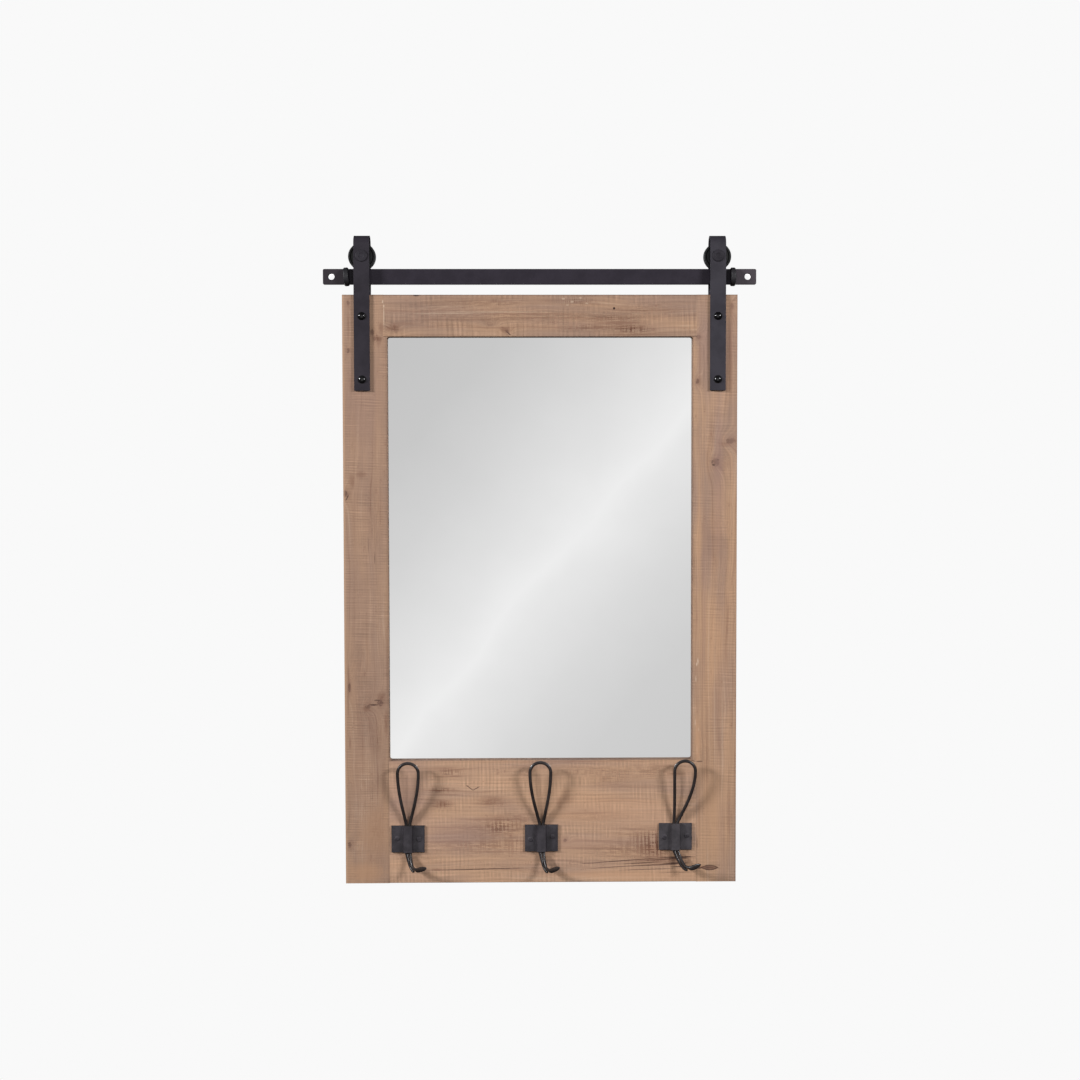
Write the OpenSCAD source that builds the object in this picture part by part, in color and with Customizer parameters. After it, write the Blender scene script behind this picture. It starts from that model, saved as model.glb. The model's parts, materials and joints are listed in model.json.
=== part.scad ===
// Wall mirror in a board frame that hangs by two grooved rollers from a
// straight flat rail, with three bent-wire coat hooks on the bottom board.
// Millimetres. X to the right, Z up, Y towards the wall.
// Origin: midway between the two wall holes, on the rail's back face.

/* [Frame] */
// Width of the board frame
frame_w = 508; // [490:1:530]
// Height of the board frame
frame_h = 762; // [700:1:820]
// Thickness of the frame boards
frame_t = 18; // [16:0.5:22]
// Width of each upright beside the glass
stile_w = 57.3; // [54:0.1:62]
// Height of the top board
top_board_h = 53.7; // [48:0.1:70]
// Height of the bottom board
bottom_board_h = 160.4; // [150:0.1:180]
// Corner radius of the opening
opening_r = 2.6; // [1:0.1:6]
// How far the top board's ends sit into the uprights
housing_top = 4.6; // [0:0.1:6]
// How far the bottom board's left end sits into its upright
housing_bottom_left = 0.4; // [0:0.1:6]
// How far the bottom board's right end sits into its upright
housing_bottom_right = 5.2; // [0:0.1:6]
// Diameter of the joining dowels
dowel_d = 8; // [6:1:8]

/* [Glass] */
// Depth of the glass behind the front of the frame
glass_recess = 8.6; // [5:0.1:9]
// Thickness of the mirror glass
glass_t = 3; // [2:0.5:4]
// Overlap of the glass behind the boards on each side
glass_lap = 6; // [4:0.5:8]

/* [Rail] */
// Length of the rail
rail_len = 558; // [550:1:600]
// Height of the rail's section
rail_h = 20; // [18:0.5:24]
// Thickness of the rail
rail_t = 4; // [3:0.5:5]
// Distance between the two wall holes
wall_hole_pitch = 536; // [530:1:540]
// Diameter of the wall holes
wall_hole_d = 8; // [5:0.1:9]
// Length of the spacers that hold the rail off the wall
wall_gap = 14; // [13.6:0.1:30]
// Distance from the rail's middle to the inner face of each end stop
stop_x = 246; // [245.6:0.1:250]
// Diameter of the round end stops
stop_d = 23.8; // [22:0.1:25]
// Thickness of the end stops
stop_t = 6; // [4:0.5:8]
// Lean of the left stop on the rail, in degrees
stop_lean = 4; // [0:0.5:5]

/* [Hangers] */
// Distance from the middle to each strap and roller
hanger_x = 228.7; // [226:0.1:229]
// Width of the straps
strap_w = 20.2; // [16:0.1:22]
// Thickness of the straps
strap_t = 3; // [2:0.1:3.4]
// Height of the strap's top above the rail's centre line
strap_top = 52.4; // [50:0.1:60]
// Length of the strap below the top of the frame
strap_drop = 122.8; // [118:0.1:150]
// Gap between the rail's underside and the top of the frame
rail_gap = 13.8; // [12:0.1:20]
// Outside diameter of the rollers
roller_d = 35.2; // [34:0.1:36]
// Width of the rollers
roller_w = 10; // [8:0.5:10.5]
// Depth of the groove in the rollers
groove_depth = 2.3; // [1.5:0.1:2.4]
// Diameter of the axle and of the strap bolts
bolt_d = 6; // [5:0.5:6]

/* [Hooks] */
// Distance between neighbouring hooks
hook_pitch = 174; // [150:1:176]
// Height of the hook plates' centre above the bottom edge
hook_up = 58.8; // [56:0.1:80]
// Width of the hook plates
plate_w = 43; // [40:0.5:46]
// Height of the hook plates
plate_h = 35; // [30:0.5:38]
// Diameter of the hook wire
wire_d = 4.2; // [3.8:0.1:4.3]
// How far the upper loops stand out from the frame
loop_reach = 15; // [12:1:60]

/* [Hidden] */
$fn = 64;

// heights: the rail's centre line is Z = 0
z_top = -rail_h / 2 - rail_gap;
z_bot = z_top - frame_h;
z_open_top = z_top - top_board_h;
z_open_bot = z_bot + bottom_board_h;
open_w = frame_w - 2 * stile_w;
open_h = z_open_top - z_open_bot;
// depths: the rail runs in the middle of the straps
y_mid = -rail_t / 2;
y_front = y_mid - frame_t / 2;
y_back = y_mid + frame_t / 2;
y_glass = y_front + glass_recess;
backing_t = y_back - y_glass - glass_t;
back_screw_l = min(4.8, backing_t - 0.8);
bend_r = frame_t / 2 + strap_t;
bend_z = strap_top - bend_r;
axle_z = rail_h / 2 + roller_d / 2 - groove_depth + 0.3;
strap_end = z_top - strap_drop;
bolt_z = [z_top - 27.6, z_top - 108.5];
rebate = glass_lap + 0.4;
nut_t = 3;
bolt_tip = y_back + strap_t + nut_t + 0.4;
screw_d = 3.4;
// one row for each hook: offset of its plate in X and Z, sideways lean of
// the loop, turn of the lower prong, its reach, how high its left and right
// screws sit, and the prong's bend: how far out, how far down, how late the
// wire turns into it, and how far down the leaf's tip is
HOOKS = [
  [1.1, -0.4,  1.05, 40, 39.5,  0.4, -0.6, 13.0, 38.0, 0.48, 30.2],
  [0.5,  0.0, -1.45, 35, 39.5, -1.7,  1.7, 13.4, 39.9, 0.48, 30.4],
  [1.0,  1.2,  11.2, 56, 36.5, -0.9,  1.2, 17.2, 39.6, 0.60, 31.6]];
function hook_x(i) = (i - 1) * hook_pitch + HOOKS[i][0];
function hook_z(i) = z_bot + hook_up + HOOKS[i][1];

// ---------- small shared shapes ----------

// a cylinder along Y from y0 to y1
module rod_y(x, z, y0, y1, d) {
  translate([x, y1, z]) rotate([90, 0, 0]) cylinder(h = y1 - y0, d = d);
}

// a plate in the XZ plane with round corners, from y0 to y1
module round_plate(x0, x1, z0, z1, r, y0, y1) {
  translate([0, y1, 0]) rotate([90, 0, 0]) linear_extrude(height = y1 - y0)
    union() {
      translate([x0 + r, z0]) square([x1 - x0 - 2 * r, z1 - z0]);
      translate([x0, z0 + r]) square([x1 - x0, z1 - z0 - 2 * r]);
      for (x = [x0 + r, x1 - r], z = [z0 + r, z1 - r])
        translate([x, z]) circle(r = r);
    }
}

// the rail's section, with eased long edges, drawn along X
module rail_section(len, grow = 0) {
  c = 0.7;
  a = rail_t / 2 + grow;
  b = rail_h / 2 + grow;
  translate([-len / 2, y_mid, 0]) rotate([90, 0, 90])
    linear_extrude(height = len)
      polygon([[-a + c, -b], [a - c, -b], [a, -b + c], [a, b - c],
               [a - c, b], [-a + c, b], [-a, b - c], [-a, -b + c]]);
}

// a low dome head facing the front, on the plane y, turned about Y
module dome_head(x, z, y, d, h) {
  R = (d * d / 4 + h * h) / (2 * h);
  translate([x, y, z]) rotate([90, 0, 0])
    rotate_extrude()
      polygon(concat([[0, 0], [d / 2, 0]],
        [for (k = [0 : 7]) let (a = asin(d / 2 / R) * (7 - k) / 8)
          [R * sin(a), R * cos(a) - (R - h)]]));
}

// a thin hexagon nut on the plane y, towards the wall
module hex_nut(x, z, y, t) {
  difference() {
    translate([x, y + t, z]) rotate([90, 0, 0]) cylinder(h = t, d = 11.5, $fn = 6);
    rod_y(x, z, y - 1, y + t + 1, bolt_d + 0.06);
  }
}

// ---------- rail ----------

module rail_bar() {
  color("#393539") difference() {
    intersection() {
      rail_section(rail_len);
      round_plate(-rail_len / 2, rail_len / 2, -rail_h / 2, rail_h / 2, 2,
                  -rail_t - 1, 1);
    }
    for (s = [-1, 1]) rod_y(s * wall_hole_pitch / 2, 0, -rail_t - 1, 1, wall_hole_d);
  }
}

// a round rubber stop pushed along the rail; s is its side
module rail_stop(s) {
  r = stop_d / 2;
  e = 1.4;
  t = stop_t;
  color("#2a282b") difference() {
    translate([s * (stop_x + t / 2), y_mid, 0])
      rotate([0, s < 0 ? -stop_lean : 0, 0]) rotate([0, 90, 0])
        rotate_extrude()
          polygon(concat([[0, -t / 2]],
            [for (k = [0 : 5]) [r - e + e * sin(k * 18), -t / 2 + e - e * cos(k * 18)]],
            [for (k = [0 : 5]) [r - e + e * cos(k * 18), t / 2 - e + e * sin(k * 18)]],
            [[0, t / 2]]));
    rail_section(rail_len);
  }
}
module rail_stop_left() { rail_stop(-1); }
module rail_stop_right() { rail_stop(1); }

// a sleeve behind each end of the rail, over the wall screw
module rail_spacer(s) {
  color("#e9e7e1") difference() {
    rod_y(s * wall_hole_pitch / 2, 0, 0, wall_gap, 15);
    rod_y(s * wall_hole_pitch / 2, 0, -1, wall_gap + 1, 10);
  }
}
module rail_spacer_left() { rail_spacer(-1); }
module rail_spacer_right() { rail_spacer(1); }

// ---------- board frame ----------

module opening_cut() {
  round_plate(-open_w / 2, open_w / 2, z_open_bot, z_open_top, opening_r,
              y_front - 1, y_back + 1);
}

module rebate_cut() {
  translate([-open_w / 2 - rebate, y_glass, z_open_bot - rebate])
    cube([open_w + 2 * rebate, frame_t, open_h + 2 * rebate]);
}

// the dowels cross the joints at these places: side, height, joint in X
dowel_l = 40;
function joint_x(s, top) = s * (open_w / 2 +
  (top ? housing_top : s < 0 ? housing_bottom_left : housing_bottom_right));
DOWELS = concat(
  [for (s = [-1, 1], z = [z_top - 14, z_open_top + 15]) [joint_x(s, true), z]],
  [for (s = [-1, 1], z = [z_bot + 22, (z_bot + z_open_bot) / 2, z_open_bot - 24])
    [joint_x(s, false), z]]);

module dowel(x, z, d, extra) {
  translate([x - dowel_l / 2 - extra, y_mid, z]) rotate([0, 90, 0])
    cylinder(h = dowel_l + 2 * extra, d = d);
}
module dowel_bores() {
  for (p = DOWELS) dowel(p[0], p[1], dowel_d + 0.1, 1);
}

PLATE_Z = [z_open_top - 190, z_open_bot + 110];
PLATE_X = [-110, 110];
// backing plates: centre in X, centre in Z, turned upright or not; each
// crosses the edge of the rebate
BACK = concat(
  [for (s = [-1, 1], z = PLATE_Z) [s * (open_w / 2 + rebate), z, 0]],
  [for (x = PLATE_X) [x, z_open_top + rebate, 90]],
  [for (x = PLATE_X) [x, z_open_bot - rebate, 90]]);
function back_screws() = [for (p = BACK, k = [-1, 1])
  p[2] == 0 ? [p[0] + 9 * k, p[1]] : [p[0], p[1] + 9 * k]];
module back_pilots() {
  for (q = back_screws()) rod_y(q[0], q[1], y_back - back_screw_l - 0.2, y_back + 1, 2.9);
}

module hook_pilots() {
  for (i = [0 : 2], s = [0, 1])
    rod_y(hook_x(i) + (s == 0 ? -14.3 : 14.3), hook_z(i) + HOOKS[i][5 + s],
          y_front - 1, y_front + 14, screw_d + 0.1);
}

module strap_bolt_holes() {
  for (s = [-1, 1], z = bolt_z)
    rod_y(s * hanger_x, z, y_front - strap_t - 1, y_back + strap_t + 1, bolt_d + 0.1);
}

// an upright: full height, let out for the ends of the cross boards
module stile(s) {
  w = stile_w + opening_r;
  color(s < 0 ? "#b08d76" : "#b3917b") difference() {
    translate([s < 0 ? -frame_w / 2 : frame_w / 2 - w, y_front, z_bot])
      cube([w, frame_t, frame_h]);
    opening_cut();
    rebate_cut();
    // seats of the cross boards
    translate([s < 0 ? joint_x(-1, true) : -1, y_front - 1, z_open_top])
      cube([abs(joint_x(s, true)) + 1, frame_t + 2, top_board_h + 1]);
    translate([s < 0 ? joint_x(-1, false) : -1, y_front - 1, z_bot - 1])
      cube([abs(joint_x(s, false)) + 1, frame_t + 2, bottom_board_h + 1]);
    dowel_bores();
    strap_bolt_holes();
    back_pilots();
    // blind pilot holes of the wall bumpers
    rod_y(s * (frame_w / 2 - 16), z_bot + 12, y_back - 6, y_back + 1, 4.1);
  }
}
module left_stile() { stile(-1); }
module right_stile() { stile(1); }

module top_board() {
  color("#a98872") difference() {
    translate([joint_x(-1, true), y_front, z_open_top])
      cube([joint_x(1, true) - joint_x(-1, true), frame_t, top_board_h]);
    rebate_cut();
    dowel_bores();
    back_pilots();
  }
}

module bottom_board() {
  color("#b79579") difference() {
    translate([joint_x(-1, false), y_front, z_bot])
      cube([joint_x(1, false) - joint_x(-1, false), frame_t, bottom_board_h]);
    rebate_cut();
    dowel_bores();
    back_pilots();
    hook_pilots();
  }
}

module frame_dowels() {
  color("#cdb08c") for (p = DOWELS) dowel(p[0], p[1], dowel_d, 0);
}

// ---------- glass and back ----------

module mirror_glass() {
  color("#dfe3e4")
    translate([-open_w / 2 - glass_lap, y_glass, z_open_bot - glass_lap])
      cube([open_w + 2 * glass_lap, glass_t, open_h + 2 * glass_lap]);
}

module backing_board() {
  color("#8a6a4c") difference() {
    translate([-open_w / 2 - glass_lap, y_glass + glass_t, z_open_bot - glass_lap])
      cube([open_w + 2 * glass_lap, backing_t, open_h + 2 * glass_lap]);
    intersection() {
      back_pilots();
      translate([-open_w / 2 - glass_lap, y_back - 5, z_open_bot - glass_lap])
        cube([open_w + 2 * glass_lap, 6, open_h + 2 * glass_lap]);
    }
  }
}

// flat steel plates that hold the backing in the rebate
module backing_plates() {
  color("#b9bbbd") for (p = BACK) difference() {
    translate([p[0], 0, p[1]]) rotate([0, p[2], 0])
      round_plate(-17, 17, -6, 6, 3, y_back, y_back + 1.2);
    for (q = back_screws()) rod_y(q[0], q[1], y_back - 1, y_back + 3, 3.2);
  }
}

module backing_screws() {
  color("#c9c6b8") for (q = back_screws()) union() {
    rod_y(q[0], q[1], y_back - back_screw_l, y_back + 1.3, 2.8);
    mirror([0, 1, 0]) dome_head(q[0], q[1], -y_back - 1.2, 5.6, 1.7);
  }
}

// rubber buttons that keep the bottom of the frame off the wall
module wall_bumpers() {
  color("#232225") for (s = [-1, 1])
    translate([s * (frame_w / 2 - 16), y_back, z_bot + 12]) rotate([-90, 0, 0])
      rotate_extrude()
        polygon([[0, -5.8], [2, -5.8], [2, 0], [6.5, 0], [6.5, 1.2],
                 [5.4, wall_gap - y_back - 0.8], [4.6, wall_gap - y_back],
                 [0, wall_gap - y_back]]);
}

// ---------- hangers ----------

// a flat strap bent into a narrow U that stands over the frame and the rail
module hanger_strap(s) {
  color("#39353b") difference() {
    union() {
      translate([s * hanger_x - strap_w / 2, y_mid, bend_z]) rotate([90, 0, 90])
        rotate_extrude(angle = 180)
          translate([frame_t / 2, 0]) square([strap_t, strap_w]);
      translate([s * hanger_x - strap_w / 2, y_front - strap_t, strap_end])
        cube([strap_w, strap_t, bend_z - strap_end]);
      translate([s * hanger_x - strap_w / 2, y_back, strap_end])
        cube([strap_w, strap_t, bend_z - strap_end]);
    }
    strap_bolt_holes();
    rod_y(s * hanger_x, axle_z, y_front - strap_t - 1, y_back + strap_t + 1, bolt_d + 0.1);
  }
}
module hanger_strap_left() { hanger_strap(-1); }
module hanger_strap_right() { hanger_strap(1); }

// two dome-headed bolts through each strap and upright
module hanger_bolts() {
  color("#242226") for (s = [-1, 1], z = bolt_z) union() {
    dome_head(s * hanger_x, z, y_front - strap_t, 10.8, 3.1);
    rod_y(s * hanger_x, z, y_front - strap_t - 0.1, bolt_tip, bolt_d);
  }
}

module hanger_nuts() {
  color("#2b292d") for (s = [-1, 1], z = bolt_z)
    hex_nut(s * hanger_x, z, y_back + strap_t, nut_t);
}

// the axle: a low round head with a shallow dimple, and a plain shank
module axle_bolt(s) {
  color("#333034") translate([s * hanger_x, 0, axle_z]) rotate([90, 0, 0])
    rotate_extrude()
      polygon([[0, -bolt_tip], [bolt_d / 2, -bolt_tip],
               [bolt_d / 2, -y_front + strap_t], [7.7, -y_front + strap_t],
               [7.7, -y_front + strap_t + 0.7], [6.9, -y_front + strap_t + 1.3],
               [3.4, -y_front + strap_t + 1.6], [2.9, -y_front + strap_t + 1.0],
               [0, -y_front + strap_t + 0.9]]);
}
module axle_bolt_left() { axle_bolt(-1); }
module axle_bolt_right() { axle_bolt(1); }

module axle_nuts() {
  color("#2b292d") for (s = [-1, 1])
    hex_nut(s * hanger_x, axle_z, y_back + strap_t, nut_t);
}

// sleeves that keep each roller in the middle of its strap
spacer_l = (frame_t - roller_w) / 2 - 0.3;
module axle_spacers() {
  color("#5a565b") for (s = [-1, 1], k = [0, 1]) difference() {
    rod_y(s * hanger_x, axle_z, k == 0 ? y_front : y_back - spacer_l,
          k == 0 ? y_front + spacer_l : y_back, 11);
    rod_y(s * hanger_x, axle_z, y_front - 1, y_back + 1, bolt_d + 0.1);
  }
}

// a grooved wheel; the groove's floor runs on the rail's top edge
module roller(s) {
  r = roller_d / 2;
  f = r - groove_depth;
  g = rail_t / 2 + 0.4;
  h = roller_w / 2;
  color("#2c2a2d") translate([s * hanger_x, y_mid, axle_z]) rotate([90, 0, 0])
    rotate_extrude($fn = 96)
      polygon([[4.5, -h], [7.2, -h], [8.2, -h + 1], [r - 3.6, -h + 1],
               [r - 2.6, -h], [r - 0.6, -h], [r, -h + 0.6], [r, -g - 0.9],
               [f, -g], [f, g], [r, g + 0.9], [r, h - 0.6], [r - 0.6, h],
               [r - 2.6, h], [r - 3.6, h - 1], [8.2, h - 1], [7.2, h],
               [4.5, h]]);
}
module roller_left() { roller(-1); }
module roller_right() { roller(1); }

// the bearing bush pressed into each roller
module roller_bush(s) {
  color("#8f7a4e") difference() {
    rod_y(s * hanger_x, axle_z, y_mid - roller_w / 2, y_mid + roller_w / 2, 9);
    rod_y(s * hanger_x, axle_z, y_mid - roller_w, y_mid + roller_w, bolt_d + 0.12);
  }
}
module roller_bush_left() { roller_bush(-1); }
module roller_bush_right() { roller_bush(1); }

// ---------- hooks ----------

// a folded plate: two flat wings and a raised channel over the two wires
module hook_plate(i) {
  w = plate_w / 2;
  t = 2;
  k = wire_d + 0.15;
  c = wire_d + 0.25;
  color("#3b383d") difference() {
    translate([hook_x(i), y_front, hook_z(i) - plate_h / 2])
      linear_extrude(height = plate_h)
        polygon([[-w, 0], [-w, -t], [-7, -t], [-5.4, -k - t], [5.4, -k - t],
                 [7, -t], [w, -t], [w, 0], [c, 0], [c, -k], [-c, -k], [-c, 0]]);
    for (s = [0, 1])
      rod_y(hook_x(i) + (s == 0 ? -14.3 : 14.3), hook_z(i) + HOOKS[i][5 + s],
            y_front - t - 1, y_front + 1, screw_d + 0.3);
  }
}
module hook_plate_left() { hook_plate(0); }
module hook_plate_middle() { hook_plate(1); }
module hook_plate_right() { hook_plate(2); }

module hook_screws() {
  color("#3a373c") for (i = [0 : 2], s = [0, 1]) {
    x = hook_x(i) + (s == 0 ? -14.3 : 14.3);
    z = hook_z(i) + HOOKS[i][5 + s];
    difference() {
      union() {
        dome_head(x, z, y_front - 2, 7, 1.9);
        rod_y(x, z, y_front - 2.1, y_front + 13, screw_d);
      }
      // cross recess
      for (a = [45, -45]) translate([x, y_front - 3.9, z]) rotate([0, a, 0])
        cube([3.4, 1.8, 0.8], center = true);
    }
  }
}

function unit(v) = v / norm(v);
function bez(p, t) = pow(1 - t, 3) * p[0] + 3 * t * pow(1 - t, 2) * p[1]
  + 3 * t * t * (1 - t) * p[2] + pow(t, 3) * p[3];

// the loop seen from the front: half width at height w above the plate's
// centre, and how far it stands out there
half0 = wire_d / 2 + 0.05;
loop_r = 13.4;
loop_lift = 87.8;
function loop_half(t) = half0 + (loop_r - half0) * sin(90 * pow(t, 1.1));
// it bends out just above the plate and stands up steeper again at the top
function loop_out(w) =
  let (t = max(0, (w - plate_h / 2) / (loop_lift + loop_r - plate_h / 2)),
       h = (sqrt(t * t + 0.0025) - 0.05) / (sqrt(1.0025) - 0.05))
  half0 + (loop_reach - half0) * (h + 0.6 * h * (1 - h));
// places along each leg of the loop, closer together in the bend
function leg_t(k) = k / 9 * (0.5 + 0.5 * k / 9);
function loop_lean(w, l) =
  l * sin(90 * min(1, max(0, (w - plate_h / 2) / (loop_lift - plate_h / 2))));

// the lower prong in its own plane: reach and height; h is the hook's row
function prong(t, h) = let (m = h[7], d = h[8], q = h[4], e = h[10])
  t < 0.5
  ? bez([[0, -plate_h / 2], [0.24 * m, -26], [h[9] * m, -d], [m, -d]], t * 2)
  : bez([[m, -d], [m + 5.5, -d], [m + 0.52 * (q - m), -(d + e) / 2 - 0.4],
         [q, -e]], t * 2 - 1);
function prong_dir(t, h) = unit(prong(min(1, t + 0.001), h)
                                - prong(max(0, t - 0.001), h));
function ease(x) = let (c = min(1, max(0, x))) c * c * (3 - 2 * c);
// the two wires leave the plate side by side and turn until they lie one
// above the other in the prong's plane: angle of their line, then the line
function twist(t, h) = h[3] + (90 - h[3]) * ease(t / 0.45);
function prong_side(t, h) =
  let (f = twist(t, h), a = h[3], p = prong_dir(t, h),
       d = unit([p[0] * ease((t + 0.06) / 0.12), p[1]]))
  cos(f) * [cos(a), -sin(a), 0]
  + sin(f) * [-d[1] * sin(a), -d[1] * cos(a), d[0]];
// point of one of the two wires; s is -1 for the outer one, which ends in
// the bend, and 1 for the inner one, which runs on into the leaf
function prong_pt(t, h, s) =
  let (q = prong(t, h), a = h[3], g = half0 * (1 - 0.1 * ease(t / 0.2)),
       o = s < 0 ? -g : g * (1 - ease((t - 0.5) / 0.2)))
  [q[0] * sin(a),
   half0 * (1 + sin(twist(t, h) - a)) + 0.15 * ease(t / 0.1) + q[0] * cos(a),
   q[1]] + o * prong_side(t, h);
// half axes of the wire there: round, then a flat leaf with a blunt tip
function prong_size(t, s) =
  let (r = wire_d / 2, k = ease(t / 0.2), u = r - 0.22 * k, v = r - 0.42 * k,
       e = s < 0 ? 0 : ease((t - 0.54) / 0.18), f = max(0, (t - 0.84) / 0.16))
  [(u + (3.15 - u) * e) * sqrt(1 - 0.93 * f * f),
   (v + (1.3 - v) * e) * sqrt(1 - 0.8 * f * f)];

SHORT_N = 11;
SHORT_END = 0.505;
LONG_N = 24;
// points, side directions and sizes along the whole wire: sideways,
// outwards, up
function wire_pts(i) = let (h = HOOKS[i], l = h[2])
  concat(
    [for (k = [SHORT_N : -1 : 0]) prong_pt(SHORT_END * k / SHORT_N, h, -1)],
    [for (k = [0 : 8]) let (t = leg_t(k), w = plate_h / 2 + t * (loop_lift - plate_h / 2))
      [-loop_half(t) + loop_lean(w, l), loop_out(w), w]],
    [for (k = [0 : 12]) let (b = 180 - 15 * k, w = loop_lift + loop_r * sin(b))
      [loop_r * cos(b) + loop_lean(w, l), loop_out(w), w]],
    [for (k = [8 : -1 : 0]) let (t = leg_t(k), w = plate_h / 2 + t * (loop_lift - plate_h / 2))
      [loop_half(t) + loop_lean(w, l), loop_out(w), w]],
    [for (k = [0 : LONG_N]) prong_pt(k / LONG_N, h, 1)]);
function wire_sides(i) = let (h = HOOKS[i])
  concat(
    [for (k = [SHORT_N : -1 : 0]) -prong_side(SHORT_END * k / SHORT_N, h)],
    [for (k = [0 : 8]) [-1, 0, 0]],
    [for (k = [0 : 12]) let (b = 180 - 15 * k) [cos(b), 0, sin(b)]],
    [for (k = [8 : -1 : 0]) [1, 0, 0]],
    [for (k = [0 : LONG_N]) prong_side(k / LONG_N, h)]);
function wire_sizes() = let (r = wire_d / 2)
  concat(
    [for (k = [SHORT_N : -1 : 0]) (k == SHORT_N ? 0.62 : 1)
      * prong_size(SHORT_END * k / SHORT_N, -1)],
    [for (k = [1 : 31]) [r, r]],
    [for (k = [0 : LONG_N]) prong_size(k / LONG_N, 1)]);

// skin between rings of equal count, with both ends closed
module skin(rings) {
  n = len(rings);
  m = len(rings[0]);
  polyhedron(
    points = [for (r = rings, p = r) p],
    faces = concat(
      [[for (j = [0 : m - 1]) j]],
      [for (i = [0 : n - 2], j = [0 : m - 1])
        [i * m + j, (i + 1) * m + j, (i + 1) * m + (j + 1) % m, i * m + (j + 1) % m]],
      [[for (j = [m - 1 : -1 : 0]) (n - 1) * m + j]]),
    convexity = 6);
}

// rings round a path; size gives the two half axes at each point
function rings_of(pts, sides, sizes, m) = [for (i = [0 : len(pts) - 1])
  let (d = unit(pts[min(i + 1, len(pts) - 1)] - pts[max(i - 1, 0)]),
       h = sides[i], u = unit(h - (h * d) * d), v = cross(d, u))
    [for (j = [0 : m - 1]) let (a = 360 * j / m)
      pts[i] + sizes[i][0] * cos(a) * u + sizes[i][1] * sin(a) * v]];

// local sideways, outwards, up as a place or a direction on the frame
function place(i, p) = [hook_x(i) + p[0], y_front - p[1], hook_z(i) + p[2]];
function facing(p) = [p[0], -p[1], p[2]];

// one bent wire: up under the plate, round the loop, back down, and out
// along the prong into the leaf
module hook_wire(i) {
  pts = [for (p = wire_pts(i)) place(i, p)];
  sides = [for (p = wire_sides(i)) facing(p)];
  color("#3f3b40") skin(rings_of(pts, sides, wire_sizes(), 10));
}
module hook_wire_left() { hook_wire(0); }
module hook_wire_middle() { hook_wire(1); }
module hook_wire_right() { hook_wire(2); }

rail_bar();
rail_stop_left();
rail_stop_right();
rail_spacer_left();
rail_spacer_right();
left_stile();
right_stile();
top_board();
bottom_board();
frame_dowels();
mirror_glass();
backing_board();
backing_plates();
backing_screws();
wall_bumpers();
hanger_strap_left();
hanger_strap_right();
hanger_bolts();
hanger_nuts();
axle_bolt_left();
axle_bolt_right();
axle_nuts();
axle_spacers();
roller_left();
roller_right();
roller_bush_left();
roller_bush_right();
hook_plate_left();
hook_plate_middle();
hook_plate_right();
hook_wire_left();
hook_wire_middle();
hook_wire_right();
hook_screws();
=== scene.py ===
import bpy
import bmesh
import json
import math
from math import cos, sin, radians, pi, sqrt
from mathutils import Vector, Matrix

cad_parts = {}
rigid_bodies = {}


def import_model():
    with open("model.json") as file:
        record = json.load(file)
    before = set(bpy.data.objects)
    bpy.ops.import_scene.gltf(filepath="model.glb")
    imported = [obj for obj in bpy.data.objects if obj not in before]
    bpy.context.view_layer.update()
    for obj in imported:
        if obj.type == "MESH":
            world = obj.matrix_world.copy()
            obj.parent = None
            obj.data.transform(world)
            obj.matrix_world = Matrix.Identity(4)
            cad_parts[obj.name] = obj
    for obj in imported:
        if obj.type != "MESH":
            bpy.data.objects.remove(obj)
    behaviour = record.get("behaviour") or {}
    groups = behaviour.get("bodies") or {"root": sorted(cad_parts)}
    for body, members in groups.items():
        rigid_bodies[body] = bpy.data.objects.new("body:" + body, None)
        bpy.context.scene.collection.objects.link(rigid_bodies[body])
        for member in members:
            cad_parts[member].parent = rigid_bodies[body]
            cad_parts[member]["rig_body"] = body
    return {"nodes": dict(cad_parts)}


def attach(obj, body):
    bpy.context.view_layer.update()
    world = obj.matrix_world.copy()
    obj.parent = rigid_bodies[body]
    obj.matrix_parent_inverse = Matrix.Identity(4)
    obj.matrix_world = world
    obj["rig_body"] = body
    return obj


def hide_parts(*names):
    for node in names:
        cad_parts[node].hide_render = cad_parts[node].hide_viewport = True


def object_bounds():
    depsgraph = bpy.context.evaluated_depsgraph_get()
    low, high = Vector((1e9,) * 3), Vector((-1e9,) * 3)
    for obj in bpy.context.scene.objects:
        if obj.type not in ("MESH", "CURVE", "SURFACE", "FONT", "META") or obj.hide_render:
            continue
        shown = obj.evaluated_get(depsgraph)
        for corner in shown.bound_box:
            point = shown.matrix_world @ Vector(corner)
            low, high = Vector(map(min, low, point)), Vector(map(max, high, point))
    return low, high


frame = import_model()
cad_lo, cad_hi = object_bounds()
N = frame["nodes"]
SC = bpy.context.scene
COL = SC.collection
SC.view_settings.view_transform = "Standard"
SC.view_settings.look = "None"
SC.view_settings.exposure = 0.0
SC.view_settings.gamma = 1.0

# ---------------------------------------------------------------- sizes, mm
FRAME_W, FRAME_H = 508.0, 762.0
Z_TOP, Z_BOT = -23.8, -785.8
Z_OPEN_TOP, Z_OPEN_BOT = -77.5, -625.4
OPEN_HALF = 196.7
Y_FRONT, Y_BACK, Y_GLASS = -11.0, 7.0, -2.4
SEAM_TOP, SEAM_LEFT, SEAM_RIGHT = 201.3, -197.1, 201.9


def s2l(c):
    c = c / 255.0
    return c / 12.92 if c <= 0.04045 else ((c + 0.055) / 1.055) ** 2.4


def lin(r, g, b, k=1.0):
    return (s2l(r) * k, s2l(g) * k, s2l(b) * k, 1.0)


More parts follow.
